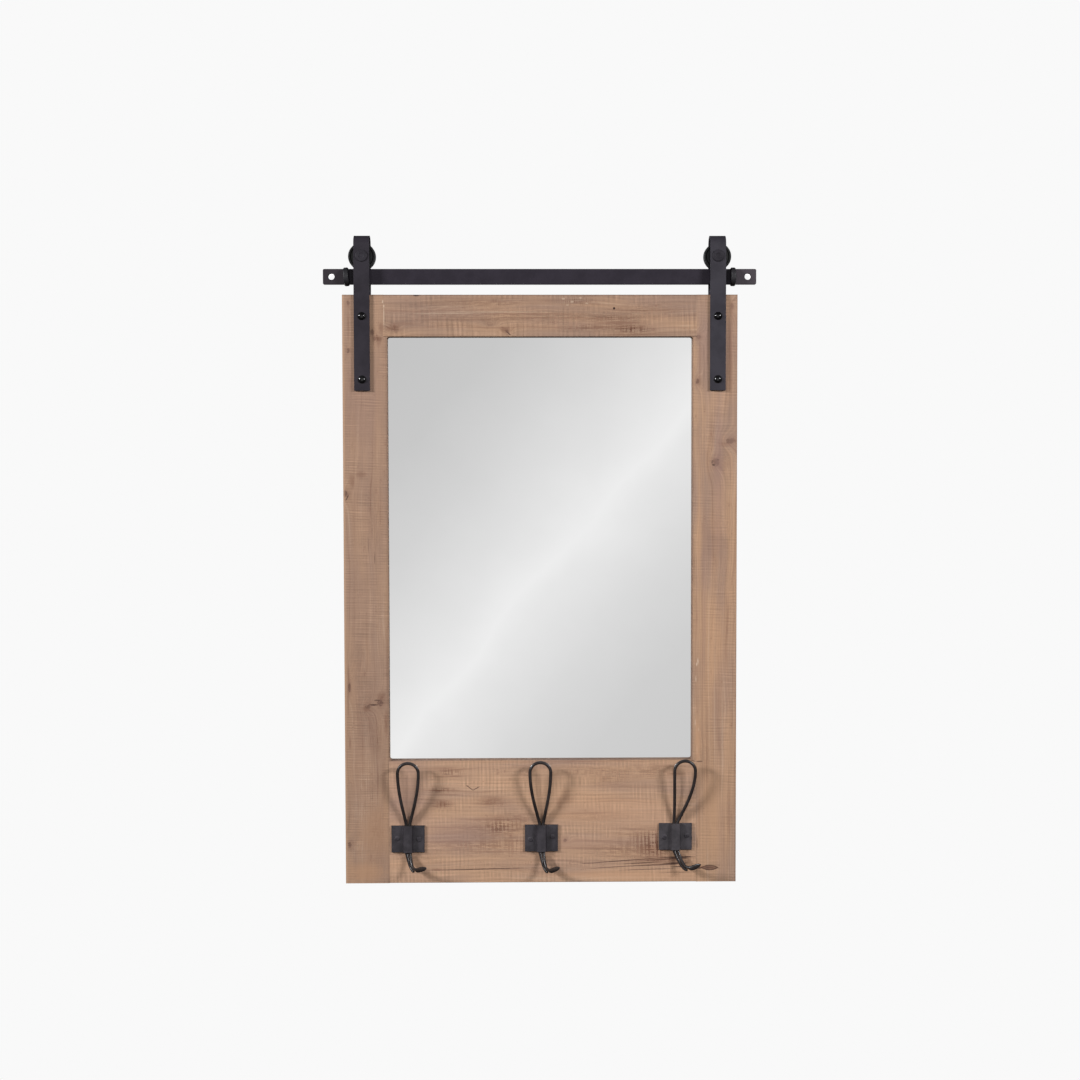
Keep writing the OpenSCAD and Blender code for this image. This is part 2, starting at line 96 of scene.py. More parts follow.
# ---------------------------------------------------------------- node tools
class Nodes:
    """Short names for the shader nodes used below."""

    def __init__(self, nt):
        self.nt = nt
        self.co = None

    def new(self, kind, **props):
        n = self.nt.nodes.new(kind)
        for k, v in props.items():
            setattr(n, k, v)
        return n

    def put(self, sock, v):
        if isinstance(v, bpy.types.NodeSocket):
            self.nt.links.new(v, sock)
        elif v is not None:
            sock.default_value = v

    def m(self, op, a, b=None, c=None, clamp=False):
        n = self.new("ShaderNodeMath", operation=op, use_clamp=clamp)
        self.put(n.inputs[0], a)
        self.put(n.inputs[1], b)
        if c is not None:
            self.put(n.inputs[2], c)
        return n.outputs[0]

    def add(self, a, b):
        return self.m("ADD", a, b)

    def mul(self, a, b):
        return self.m("MULTIPLY", a, b)

    def sub(self, a, b):
        return self.m("SUBTRACT", a, b)

    def xyz(self, x, y, z):
        n = self.new("ShaderNodeCombineXYZ")
        for i, v in enumerate((x, y, z)):
            self.put(n.inputs[i], v)
        return n.outputs[0]

    def sep(self, v):
        n = self.new("ShaderNodeSeparateXYZ")
        self.put(n.inputs[0], v)
        return n.outputs

    def mm(self):
        """Object coordinates in millimetres: x, y, z."""
        if self.co is None:
            t = self.new("ShaderNodeTexCoord")
            v = self.new("ShaderNodeVectorMath", operation="SCALE")
            self.nt.links.new(t.outputs["Object"], v.inputs[0])
            v.inputs["Scale"].default_value = 1000.0
            self.co = (self.sep(v.outputs[0]), v.outputs[0])
        return self.co

    def noise(self, vec, scale=1.0, detail=2.0, rough=0.5, distort=0.0):
        n = self.new("ShaderNodeTexNoise")
        n.noise_dimensions = "3D"
        self.put(n.inputs["Vector"], vec)
        n.inputs["Scale"].default_value = scale
        n.inputs["Detail"].default_value = detail
        n.inputs["Roughness"].default_value = rough
        n.inputs["Distortion"].default_value = distort
        return n.outputs[0]

    def step(self, x, lo, hi, a=0.0, b=1.0):
        n = self.new("ShaderNodeMapRange", interpolation_type="SMOOTHSTEP")
        self.put(n.inputs["Value"], x)
        n.inputs["From Min"].default_value = lo
        n.inputs["From Max"].default_value = hi
        n.inputs["To Min"].default_value = a
        n.inputs["To Max"].default_value = b
        return n.outputs[0]

    def mix(self, f, a, b, mode="MIX"):
        n = self.new("ShaderNodeMix", data_type="RGBA", blend_type=mode)
        n.clamp_factor = True
        self.put(n.inputs[0], f)
        self.put(n.inputs[6], a)
        self.put(n.inputs[7], b)
        return n.outputs[2]

    def grey(self, v):
        n = self.new("ShaderNodeCombineColor")
        for i in range(3):
            self.put(n.inputs[i], v)
        return n.outputs[0]

    def ramp(self, f, stops, mode="LINEAR"):
        n = self.new("ShaderNodeValToRGB")
        n.color_ramp.interpolation = mode
        e = n.color_ramp.elements
        while len(e) > 1:
            e.remove(e[0])
        e[0].position, e[0].color = stops[0]
        for p, c in stops[1:]:
            k = e.new(p)
            k.color = c
        self.put(n.inputs[0], f)
        return n.outputs[0]

    def bump(self, h, strength, distance):
        n = self.new("ShaderNodeBump")
        n.inputs["Strength"].default_value = strength
        n.inputs["Distance"].default_value = distance
        self.put(n.inputs["Height"], h)
        return n.outputs[0]


def material(name):
    m = bpy.data.materials.new(name)
    m.use_nodes = True
    nt = m.node_tree
    nt.nodes.clear()
    out = nt.nodes.new("ShaderNodeOutputMaterial")
    b = nt.nodes.new("ShaderNodeBsdfPrincipled")
    nt.links.new(b.outputs[0], out.inputs[0])
    return m, Nodes(nt), b


# ---------------------------------------------------------------- materials
K_WOOD = 1.0


def wood(name, along, seed, warm, marks, edges=(), combs=(), grain=0.05, glen=260.0, cut=0.05, period=3.6,
         rib=0.0, contrast=1.0, bright=1.0, spread=1.0, inner=False):
    """Waxed brown board. along is the grain's axis, X or Z. marks are
    (u, v, half length, half width, darkness, kind, slope) in mm on the face;
    edges are (axis, place, width, lighter) strips of painted highlight (lighter
    above 0) and painted shade (below 0) along an edge; combs are
    (u, v, half length, half width, darkness) patches of dark saw marks."""
    m, n, b = material(name)
    (x, y, z), _ = n.mm()
    u, v = (x, z) if along == "X" else (z, x)
    sd = float(seed)
    # slow wander of the grain, and its bulge round each knot
    wander = n.noise(n.xyz(n.mul(u, 1 / 190.0), n.mul(v, 1 / 60.0), sd), 1.0, 2.0, 0.5)
    vv = n.add(v, n.mul(n.sub(wander, 0.5), 22.0))
    vv = n.add(vv, n.mul(y, 0.35))
    jit = n.noise(n.xyz(n.mul(u, 1 / 4.2), n.mul(v, 1 / 4.2), sd + 9.0), 1.0, 3.0, 0.65)
    jit2 = n.sub(jit, 0.5)
    spots = []
    for mk in marks:
        uk, vk, ru, rv, dark, kind = mk[:6]
        slope = mk[6] if len(mk) > 6 else 0.0
        du = n.sub(u, uk)
        dv = n.sub(v, vk)
        if slope:
            dv = n.sub(dv, n.mul(du, slope))
        if kind == "knot":
            g = n.add(n.m("POWER", n.mul(du, 1 / (3.6 * ru)), 2.0),
                      n.m("POWER", n.mul(dv, 1 / (2.6 * rv)), 2.0))
            vv = n.add(vv, n.mul(n.m("EXPONENT", n.mul(g, -1.0)), 6.0 + rv))
        if kind == "lens":
            d = n.add(n.mul(n.m("ABSOLUTE", du), 1 / ru), n.m("POWER", n.mul(dv, 1 / rv), 2.0))
            d = n.add(d, n.mul(jit2, 0.25))
        else:
            w = 1.7 if kind == "knot" else 1.0
            a = n.m("POWER", n.add(n.mul(du, 1 / ru), n.mul(jit2, 0.8 * w)), 2.0)
            c = n.m("POWER", n.add(n.mul(dv, 1 / rv), n.mul(jit2, 1.0 * w)), 2.0)
            d = n.m("SQRT", n.add(a, c))
        spots.append((d, dark, kind))
    # broad streaks, narrow streaks, hard fine lines, fibres
    s1 = n.noise(n.xyz(n.mul(u, 1 / 420.0), n.mul(vv, 1 / 15.0), sd + 1.0), 1.0, 3.0, 0.55)
    s2 = n.noise(n.xyz(n.mul(u, 1 / 170.0), n.mul(vv, 1 / 4.4), sd + 2.0), 1.0, 4.0, 0.62)
    l1 = n.noise(n.xyz(n.mul(u, 1 / glen), n.mul(vv, 1 / 1.75), sd + 21.0), 1.0, 1.0, 0.5)
    l2 = n.noise(n.xyz(n.mul(u, 1 / (glen * 0.35)), n.mul(vv, 1 / 1.3), sd + 22.0), 1.0, 1.0, 0.5)
    s3 = n.noise(n.xyz(n.mul(u, 1 / 22.0), n.mul(vv, 1 / 0.9), sd + 3.0), 1.0, 2.0, 0.6)
    tone = n.noise(n.xyz(n.mul(u, 1 / 120.0), n.mul(v, 1 / 34.0), sd + 4.0), 1.0, 2.0, 0.5)
    k = K_WOOD * bright
    mauve = lin(176 - 14 * spread, 141 - 9 * spread, 117 - 3 * spread, k)
    orange = lin(176 + 12 * spread, 141 + 9 * spread, 117 + 3 * spread, k)
    dark, light = lin(126, 90, 73, k), lin(208, 178, 153, k)
    t = n.add(n.add(n.mul(tone, 0.62), n.mul(s1, 0.38)), warm)
    col = n.mix(n.step(t, 0.34, 0.66), mauve, orange)
    col = n.mix(n.step(s2, 0.53, 0.74, 0.0, 0.36 * contrast), col, dark)
    col = n.mix(n.step(s2, 0.45, 0.27, 0.0, 0.26 * contrast), col, light)
    col = n.mix(n.step(s1, 0.56, 0.72, 0.0, 0.12), col, dark)
    # saw marks across the grain and ribs along it, both in patches
    patch = n.noise(n.xyz(n.mul(u, 1 / 46.0), n.mul(v, 1 / 22.0), sd + 5.0), 1.0, 2.0, 0.6)
    patch2 = n.noise(n.xyz(n.mul(u, 1 / 60.0), n.mul(v, 1 / 24.0), sd + 15.0), 1.0, 2.0, 0.6)
    bend = n.noise(n.xyz(n.mul(u, 1 / 40.0), n.mul(v, 1 / 55.0), sd + 6.0), 1.0, 1.0, 0.5)
    uu = n.add(n.add(u, n.mul(v, 0.02)), n.mul(bend, 4.0))
    c1 = n.m("SINE", n.mul(uu, 2 * pi / period))
    c2 = n.noise(n.xyz(n.mul(uu, 1 / 1.9), n.mul(v, 1 / 42.0), sd + 7.0), 1.0, 1.0, 0.5)
    saw = n.add(n.mul(c1, 0.55), n.mul(n.sub(c2, 0.5), 4.2))
    amp = n.step(patch, 0.40, 0.60, 0.40, 1.4)
    tex = n.mul(n.mul(saw, amp), cut)
    tex = n.add(tex, n.mul(n.sub(l1, 0.5), grain * 4.6))
    tex = n.add(tex, n.mul(n.sub(l2, 0.5), grain * 3.0))
    tex = n.add(tex, n.mul(n.sub(s3, 0.5), 0.20))
    if rib:
        r1 = n.m("SINE", n.mul(n.add(v, n.mul(bend, 3.0)), 2 * pi / 5.1))
        tex = n.add(tex, n.mul(n.mul(r1, n.step(patch2, 0.42, 0.60, 0.15, 1.3)), rib))
    # flecks where the saw tore the surface, light and dark
    tear = n.noise(n.xyz(n.mul(u, 1 / 2.2), n.mul(v, 1 / 2.2), sd + 12.0), 1.0, 2.0, 0.6)
    tex = n.add(tex, n.mul(n.mul(n.sub(tear, 0.5), n.step(patch2, 0.45, 0.62, 0.15, 1.0)), 0.26))
    # dark stain left in rough patches
    stain = n.noise(n.xyz(n.mul(u, 1 / 22.0), n.mul(v, 1 / 7.0), sd + 11.0), 1.0, 3.0, 0.65)
    rough_p = n.mul(n.step(stain, 0.57, 0.74), n.step(c2, 0.45, 0.60))
    col = n.mix(n.mul(rough_p, 0.50), col, dark)
    dash = n.noise(n.xyz(n.mul(u, 1 / 13.0), n.mul(vv, 1 / 1.5), sd + 23.0), 1.0, 1.0, 0.5)
    weave = n.step(n.add(n.mul(n.add(c2, n.mul(c1, 0.10)), 0.5), n.mul(dash, 0.5)), 0.42, 0.56)
    bu = n.m("SINE", n.mul(uu, 2 * pi / 2.9))
    bv = n.m("SINE", n.mul(n.add(v, n.mul(bend, 2.0)), 2 * pi / 3.1))
    basket = n.step(n.add(n.m("MAXIMUM", bu, bv), n.mul(n.sub(dash, 0.5), 1.8)), 0.55, 1.0)
    for (uk, vk, ru, rv, dk) in combs:
        g = n.add(n.m("POWER", n.mul(n.sub(u, uk), 1 / ru), 2.0), n.m("POWER", n.mul(n.sub(v, vk), 1 / rv), 2.0))
        g = n.m("EXPONENT", n.mul(g, -1.0))
        tint = lin(104, 70, 55, k) if dk > 0 else lin(222, 196, 172, k)
        col = n.mix(n.mul(n.mul(g, weave if dk > 0 else basket), abs(dk)), col, tint)
        tex = n.add(tex, n.mul(n.mul(g, saw), 0.03))
    col = n.mix(1.0, col, n.grey(n.add(tex, 1.0)), "MULTIPLY")
    height = n.add(n.mul(tex, 2.2), n.mul(s2, 0.3))
    for d, dk, kind in spots:
        if kind == "knot":
            core = n.step(d, 1.25, 0.35)
            rim = n.mul(n.mul(n.step(d, 0.55, 0.85), n.step(d, 1.3, 0.95)), n.step(jit, 0.40, 0.58))
            col = n.mix(n.step(d, 3.2, 0.8, 0.0, 0.34 * dk), col, lin(140, 104, 86, k))
            col = n.mix(n.mul(core, 0.60 * dk), col, lin(96, 68, 60, k))
            col = n.mix(n.mul(rim, 0.42 * dk), col, lin(66, 46, 42, k))
        elif kind == "lens":
            col = n.mix(n.step(d, 1.15, 0.9, 0.0, 0.75 * dk), col, lin(112, 82, 69, k))
            col = n.mix(n.mul(n.mul(n.step(d, 0.6, 0.85), n.step(d, 1.2, 0.98)), 0.75 * dk), col, lin(74, 54, 48, k))
            col = n.mix(n.step(d, 0.35, 0.1, 0.0, 0.55 * dk), col, lin(78, 56, 50, k))
        elif kind == "crack":
            col = n.mix(n.mul(n.step(d, 1.15, 0.45), dk), col, lin(62, 44, 40, k))
            height = n.sub(height, n.mul(n.step(d, 1.1, 0.5), 0.8))
        elif kind in ("pink", "orange"):
            tint = lin(158, 126, 114, k) if kind == "pink" else lin(200, 154, 118, k)
            col = n.mix(n.mul(n.step(d, 1.3, 0.2), dk), col, tint)
        elif kind == "light":
            col = n.mix(n.mul(n.step(d, 1.2, 0.3), dk), col, lin(220, 194, 168, k))
        else:
            col = n.mix(n.mul(n.step(d, 1.3, 0.2), dk), col, lin(124, 86, 68, k))
    # painted highlight and painted shade: strips along the edges, lighter where a bevel catches the light, darker where
    # shade falls
    for ax, place, width, lighter in edges:
        q = {"X": x, "Z": z}[ax]
        d = n.m("ABSOLUTE", n.sub(q, place))
        tint = lin(206, 166, 134, k) if lighter > 0 else lin(92, 68, 58, k)
        col = n.mix(n.step(d, width, width * 0.3, 0.0, abs(lighter)), col, tint)
    if inner:
        col = n.mix(0.62, col, lin(70, 56, 48, k))
    n.put(b.inputs["Base Color"], col)
    n.put(b.inputs["Roughness"], n.step(s2, 0.2, 0.8, 0.68, 0.86))
    b.inputs["Specular IOR Level"].default_value = 0.22
    n.put(b.inputs["Normal"], n.bump(height, 0.4, 0.00025))
    return m


def raw_wood(name, base, along="X"):
    m, n, b = material(name)
    (x, y, z), _ = n.mm()
    u, v = (x, z) if along == "X" else (z, x)
    a = n.noise(n.xyz(n.mul(u, 1 / 60.0), n.mul(v, 1 / 2.0), n.mul(y, 0.5)), 1.0, 3.0, 0.6)
    c = n.noise(n.xyz(n.mul(u, 1 / 6.0), n.mul(v, 1 / 0.5), y), 1.0, 2.0, 0.6)
    dark = tuple(q * 0.62 for q in base[:3]) + (1.0,)
    col = n.mix(n.step(a, 0.4, 0.7, 0.0, 0.7), base, dark)
    col = n.mix(n.step(c, 0.5, 0.8, 0.0, 0.3), col, dark)
    n.put(b.inputs["Base Color"], col)
    n.put(b.inputs["Roughness"], n.step(a, 0.2, 0.8, 0.6, 0.8))
    n.put(b.inputs["Normal"], n.bump(c, 0.3, 0.0001))
    return m


def hardboard(name):
    m, n, b = material(name)
    _, p = n.mm()
    f = n.noise(p, 0.9, 4.0, 0.7, 0.8)
    g = n.noise(p, 0.06, 3.0, 0.55)
    (x, y, z), _ = n.mm()
    mesh = n.mul(n.m("SINE", n.mul(x, 2 * pi / 1.4)), n.m("SINE", n.mul(z, 2 * pi / 1.4)))
    col = n.mix(n.step(f, 0.3, 0.7), lin(112, 82, 56), lin(146, 112, 78))
    col = n.mix(n.step(g, 0.35, 0.7, 0.0, 0.5), col, lin(98, 70, 48))
    n.put(b.inputs["Base Color"], col)
    n.put(b.inputs["Roughness"], n.step(f, 0.3, 0.7, 0.62, 0.8))
    n.put(b.inputs["Normal"], n.bump(n.add(n.mul(mesh, 0.4), f), 0.4, 0.0002))
    return m


def paint(name, base, rough=0.45, peel=1.0, wear=0.25, spec=0.5, scale=1.0, mottle=1.0, ends=()):
    """Black coating on steel: mottled, with a fine grain and rubbed spots.
    ends: another tone past a place along X, used as a painted highlight on a
    bar's lamp-lit ends."""
    m, n, b = material(name)
    (x, _, _), p = n.mm()
    big = n.noise(p, 0.045 * scale, 3.0, 0.6)
    mid = n.noise(p, 0.35 * scale, 3.0, 0.6)
    fine = n.noise(p, 2.6 * scale, 3.0, 0.65)
    lighter = tuple(min(1.0, q * (1 + 0.7 * mottle) + 0.004 * mottle) for q in base[:3]) + (1.0,)
    darker = tuple(q * (1 - 0.3 * mottle) for q in base[:3]) + (1.0,)
    col = n.mix(n.step(big, 0.35, 0.65), base, lighter)
    col = n.mix(n.step(mid, 0.55, 0.75, 0.0, 0.5), col, darker)
    # painted highlight: past each place the colour turns to the ends' lighter tone
    for start, full, tone in ends:
        col = n.mix(n.step(x, start, full, 0.0, 0.85), col, tone)
    rub = n.mul(n.step(mid, 0.60, 0.74), n.step(fine, 0.5, 0.7))
    col = n.mix(n.mul(rub, wear), col, lin(96, 86, 82))
    n.put(b.inputs["Base Color"], col)
    b.inputs["Metallic"].default_value = 0.0
    b.inputs["Specular IOR Level"].default_value = spec
    r = n.add(n.step(mid, 0.3, 0.7, rough - 0.05, rough + 0.06), n.mul(n.sub(fine, 0.5), 0.10))
    n.put(b.inputs["Roughness"], r)
    n.put(b.inputs["Normal"], n.bump(n.add(fine, n.mul(mid, 0.6)), 0.16 * peel, 0.00012))
    return m


def rubber(name, base, vary=1.9):
    m, n, b = material(name)
    _, p = n.mm()
    f = n.noise(p, 1.7, 3.0, 0.6)
    g = n.noise(p, 0.12, 2.0, 0.5)
    lighter = tuple(q * vary for q in base[:3]) + (1.0,)
    n.put(b.inputs["Base Color"], n.mix(n.step(g, 0.3, 0.7), base, lighter))
    n.put(b.inputs["Roughness"], n.step(f, 0.3, 0.7, 0.5, 0.68))
    n.put(b.inputs["Normal"], n.bump(f, 0.2, 0.0001))
    return m


def plastic(name, base, rough=0.45):
    m, n, b = material(name)
    _, p = n.mm()
    f = n.noise(p, 1.2, 3.0, 0.6)
    g = n.noise(p, 0.1, 2.0, 0.5)
    darker = tuple(q * 0.86 for q in base[:3]) + (1.0,)
    n.put(b.inputs["Base Color"], n.mix(n.step(g, 0.35, 0.7), base, darker))
    n.put(b.inputs["Roughness"], n.step(f, 0.3, 0.7, rough - 0.06, rough + 0.08))
    n.put(b.inputs["Normal"], n.bump(f, 0.1, 0.0001))
    b.inputs["Subsurface Weight"].default_value = 0.05
    return m


def metal(name, base, rough=0.35, brushed=0.0):
    m, n, b = material(name)
    (x, y, z), p = n.mm()
    f = n.noise(p, 0.7, 4.0, 0.6)
    lines = n.noise(n.xyz(n.mul(x, 0.08), n.mul(y, 1.0), n.mul(z, 4.0)), 1.0, 3.0, 0.6)
    darker = tuple(q * 0.7 for q in base[:3]) + (1.0,)
    n.put(b.inputs["Base Color"], n.mix(n.step(f, 0.35, 0.7), base, darker))
    b.inputs["Metallic"].default_value = 1.0
    n.put(b.inputs["Roughness"], n.step(f, 0.3, 0.7, rough - 0.08, rough + 0.1))
    n.put(b.inputs["Normal"], n.bump(n.add(f, n.mul(lines, brushed)), 0.12, 0.00008))
    return m


def mirror_face(name):
    m, n, b = material(name)
    _, p = n.mm()
    dust = n.noise(p, 0.9, 4.0, 0.7)
    haze = n.noise(p, 0.012, 2.0, 0.5)
    col = n.mix(n.step(dust, 0.62, 0.8, 0.0, 0.05), lin(246, 246, 246), lin(214, 214, 213))
    col = n.mix(n.step(haze, 0.3, 0.7, 0.0, 0.02), col, lin(238, 238, 238))
    n.put(b.inputs["Base Color"], col)
    b.inputs["Metallic"].default_value = 1.0
    n.put(b.inputs["Roughness"], n.step(dust, 0.45, 0.8, 0.004, 0.022))
    return m


def glass_edge(name):
    m, n, b = material(name)
    _, p = n.mm()
    f = n.noise(p, 0.8, 3.0, 0.6)
    n.put(b.inputs["Base Color"], n.mix(n.step(f, 0.3, 0.7), lin(120, 150, 138), lin(150, 176, 164)))
    n.put(b.inputs["Roughness"], n.step(f, 0.3, 0.7, 0.12, 0.3))
    return m


# marks on the boards: place along the grain and across it, in mm
LEFT_MARKS = [
    (-34.6, -246.0, 3.0, 2.0, 0.8, "knot"), (-95.0, -246.3, 2.8, 1.8, 1.0, "knot"),
    (-136.0, -244.5, 15.0, 3.0, 0.25, "soft"), (-279.0, -251.6, 4.6, 3.0, 1.2, "knot"),
    (-284.0, -249.0, 5.0, 0.9, 0.8, "crack", 0.5), (-262.0, -243.0, 10.0, 5.0, 0.38, "soft"),
    (-254.0, -231.0, 5.0, 8.0, 0.38, "soft"), (-529.5, -247.8, 6.0, 1.5, 1.1, "knot"),
    (-512.0, -249.0, 16.0, 1.6, 0.45, "soft"), (-548.0, -249.6, 30.0, 1.1, 0.35, "soft"),
    (-552.4, -217.0, 1.3, 7.4, 0.85, "crack", 0.0), (-549.6, -207.5, 3.6, 3.4, 1.1, "knot"),
    (-555.0, -224.0, 2.4, 3.0, 0.8, "knot"), (-546.5, -212.0, 1.2, 4.4, 0.6, "crack"),
    (-541.0, -206.0, 6.0, 8.0, 0.38, "soft"), (-558.0, -227.0, 4.0, 5.5, 0.38, "soft"),
    (-575.0, -200.5, 18.0, 3.0, 0.45, "soft"), (-735.2, -248.8, 3.6, 2.2, 1.0, "knot"),
    (-345.0, -222.3, 13.0, 0.5, 0.45, "crack"), (-362.0, -214.0, 9.0, 0.5, 0.55, "crack"),
    (-329.0, -217.0, 15.0, 0.4, 0.35, "crack"), (-336.0, -211.0, 12.0, 0.4, 0.3, "crack"),
    (-66.0, -204.0, 9.0, 4.0, 0.42, "soft"), (-84.0, -207.0, 7.0, 3.0, 0.35, "soft"),
    (-602.0, -247.5, 10.0, 1.4, 0.4, "soft"), (-32.6, -201.6, 2.6, 1.3, 0.85, "light"),
    (-652.0, -212.0, 30.0, 1.5, 0.30, "soft"), (-500.0, -199.0, 60.0, 1.2, 0.25, "soft"),
    (-655.0, -204.0, 34.0, 4.0, 0.22, "soft"), (-300.0, -240.0, 60.0, 2.0, 0.18, "soft"),
    (-72.0, -215.4, 4.0, 2.4, 0.9, "knot"), (-79.0, -209.0, 4.0, 6.0, 0.35, "soft"),
    (-80.0, -213.0, 3.0, 1.8, 0.4, "knot"), (-60.0, -246.0, 24.0, 1.6, 0.35, "soft"), (-150.0, -226.0, 70.0, 30.0, 0.30, "pink"),
    (-772.0, -228.0, 16.0, 30.0, 0.55, "orange"), (-716.0, -216.0, 50.0, 28.0, 0.38, "orange"),
    (-640.0, -232.0, 44.0, 16.0, 0.20, "orange"),
]
LEFT_COMBS = [(-660.0, -221.0, 12.0, 7.0, 0.35), (-560.0, -224.0, 30.0, 14.0, 0.28), (-720.0, -214.0, 40.0, 12.0, 0.30),
              (-300.0, -214.0, 40.0, 14.0, 0.20), (-652.0, -229.0, 13.0, 9.0, -0.38), (-692.0, -232.0, 20.0, 11.0, -0.32),
              (-676.0, -216.0, 12.0, 8.0, -0.25), (-628.0, -222.0, 14.0, 14.0, -0.16), (-450.0, -210.0, 60.0, 8.0, -0.14),
              (-500.0, -236.0, 40.0, 10.0, 0.20), (-744.0, -236.0, 16.0, 12.0, -0.20), (-600.0, -212.0, 22.0, 9.0, 0.30),
              (-79.0, -208.0, 5.0, 6.0, 0.8)]
RIGHT_MARKS = [
    (-39.0, 246.8, 4.0, 2.2, 0.7, "knot"), (-78.0, 203.8, 2.6, 3.0, 0.8, "knot"),
    (-134.8, 202.8, 3.4, 2.0, 1.1, "knot"), (-211.5, 246.0, 3.4, 6.4, 0.75, "knot"),
    (-216.0, 237.0, 3.4, 9.0, 0.35, "soft", -0.4), (-239.0, 226.6, 4.6, 4.4, 1.05, "knot"),
    (-242.6, 224.0, 1.2, 2.2, 0.8, "crack"), (-236.0, 229.5, 1.0, 2.0, 0.7, "crack"),
    (-205.0, 222.0, 22.0, 4.0, 0.22, "soft"), (-95.0, 245.5, 66.0, 3.4, 0.46, "soft"),
    (-105.0, 205.5, 44.0, 1.3, 0.34, "soft"), (-110.0, 211.0, 34.0, 0.8, 0.30, "crack"),
    (-767.4, 219.8, 3.3, 11.4, 1.25, "lens"), (-736.0, 203.5, 9.0, 0.8, 0.5, "crack"),
    (-700.0, 245.0, 40.0, 3.0, 0.28, "soft"), (-560.0, 249.0, 80.0, 1.4, 0.25, "soft"),
    (-497.0, 204.0, 5.0, 1.0, 0.75, "light"), (-501.0, 202.4, 3.0, 1.0, 0.75, "light"),
    (-520.0, 201.4, 5.0, 0.9, 0.55, "light"), (-612.0, 203.0, 8.0, 0.9, 0.45, "light"),
    (-577.0, 200.8, 5.0, 0.8, 0.50, "light"), (-586.0, 205.0, 3.0, 0.8, 0.4, "light"),
    (-650.0, 252.0, 46.0, 1.2, 0.3, "soft"), (-560.0, 226.0, 120.0, 0.7, 0.28, "light"),
    (-470.0, 218.0, 90.0, 0.8, 0.24, "light"), (-600.0, 236.0, 90.0, 0.8, 0.24, "light"),
    (-520.0, 210.0, 170.0, 0.8, 0.30, "soft"), (-600.0, 216.0, 120.0, 0.9, 0.28, "soft"),
    (-340.0, 222.0, 40.0, 16.0, 0.16, "soft"), (-700.0, 206.0, 60.0, 1.0, 0.34, "soft"),
    (-260.0, 230.0, 130.0, 7.0, 0.42, "pink"), (-420.0, 212.0, 120.0, 3.0, 0.30, "pink"),
    (-604.0, 203.6, 34.0, 5.0, 0.55, "orange"), (-330.0, 205.0, 90.0, 3.0, 0.35, "orange"),
    (-628.0, 206.0, 1.2, 5.0, 0.60, "crack"), (-767.8, 205.6, 1.5, 4.6, 0.80, "crack"),
    (-766.6, 210.0, 2.4, 4.0, 0.50, "soft"), (-500.0, 226.0, 120.0, 22.0, 0.26, "orange"),
    (-700.0, 226.0, 80.0, 24.0, 0.30, "orange"), (-90.0, 226.0, 60.0, 26.0, 0.40, "pink"),
]
RIGHT_COMBS = [(-240.0, 232.0, 26.0, 18.0, 0.22), (-330.0, 240.0, 60.0, 14.0, 0.20), (-620.0, 212.0, 40.0, 10.0, 0.25)]
TOP_MARKS = [
    (-158.6, -24.6, 4.6, 1.4, 1.0, "crack"), (-186.0, -68.6, 4.2, 3.6, 0.5, "knot"),
    (-190.0, -66.0, 10.0, 4.4, 0.50, "soft"), (-174.0, -61.0, 20.0, 3.0, 0.28, "soft"),
    (-40.4, -73.4, 3.4, 1.1, 0.95, "crack", -0.8), (-43.0, -70.6, 2.4, 2.2, 1.0, "knot"),
    (-46.0, -68.0, 7.0, 4.0, 0.50, "soft"), (-64.0, -62.5, 3.0, 1.6, 0.30, "knot"),
    (95.0, -41.4, 1.8, 1.8, 1.35, "crack"), (28.0, -31.0, 36.0, 3.0, 0.30, "soft"),
    (52.0, -34.0, 14.0, 2.0, 0.30, "soft"), (0.0, -48.5, 110.0, 0.9, 0.42, "soft"),
    (40.0, -53.5, 140.0, 1.0, 0.40, "soft"), (104.0, -60.0, 34.0, 2.2, 0.48, "soft"),
    (86.0, -65.5, 40.0, 1.4, 0.35, "soft"), (122.0, -66.0, 18.0, 2.6, 0.42, "soft"),
    (-62.0, -46.0, 90.0, 0.8, 0.35, "light"), (-120.0, -48.0, 60.0, 0.7, 0.40, "light"),
    (188.0, -64.0, 12.0, 0.7, 0.3, "light"), (-200.5, -50.0, 0.8, 17.0, 0.60, "light"),
    (-201.5, -38.0, 2.4, 2.2, 0.8, "light"), (-186.0, -45.0, 12.0, 1.0, 0.2, "soft"),
    (-100.0, -56.0, 90.0, 0.9, 0.34, "soft"), (-80.0, -66.0, 110.0, 0.8, 0.30, "soft"),
    (130.0, -75.0, 60.0, 1.2, 0.4, "soft"), (30.0, -29.0, 2.4, 1.6, 0.5, "light"),
    (41.0, -33.0, 2.6, 1.3, 0.5, "light"), (52.0, -28.0, 2.2, 1.4, 0.45, "light"),
    (60.0, -35.0, 2.4, 1.2, 0.45, "light"), (35.0, -37.0, 2.2, 1.1, 0.4, "light"),
]
TOP_COMBS = [(-190.0, -66.0, 9.0, 5.0, 0.80), (118.0, -68.0, 22.0, 5.5, 1.0), (50.0, -32.0, 26.0, 6.0, 0.6), (60.0, -66.0, 40.0, 5.0, 0.5),
             (40.0, -31.0, 18.0, 4.0, -0.45), (0.0, -52.0, 90.0, 8.0, 0.35), (96.0, -54.0, 40.0, 6.0, 0.5), (-60.0, -34.0, 60.0, 5.0, 0.3),
             (140.0, -42.0, 50.0, 9.0, 0.30), (-95.0, -46.0, 60.0, 14.0, 0.22), (-150.0, -46.0, 30.0, 16.0, 0.22)]
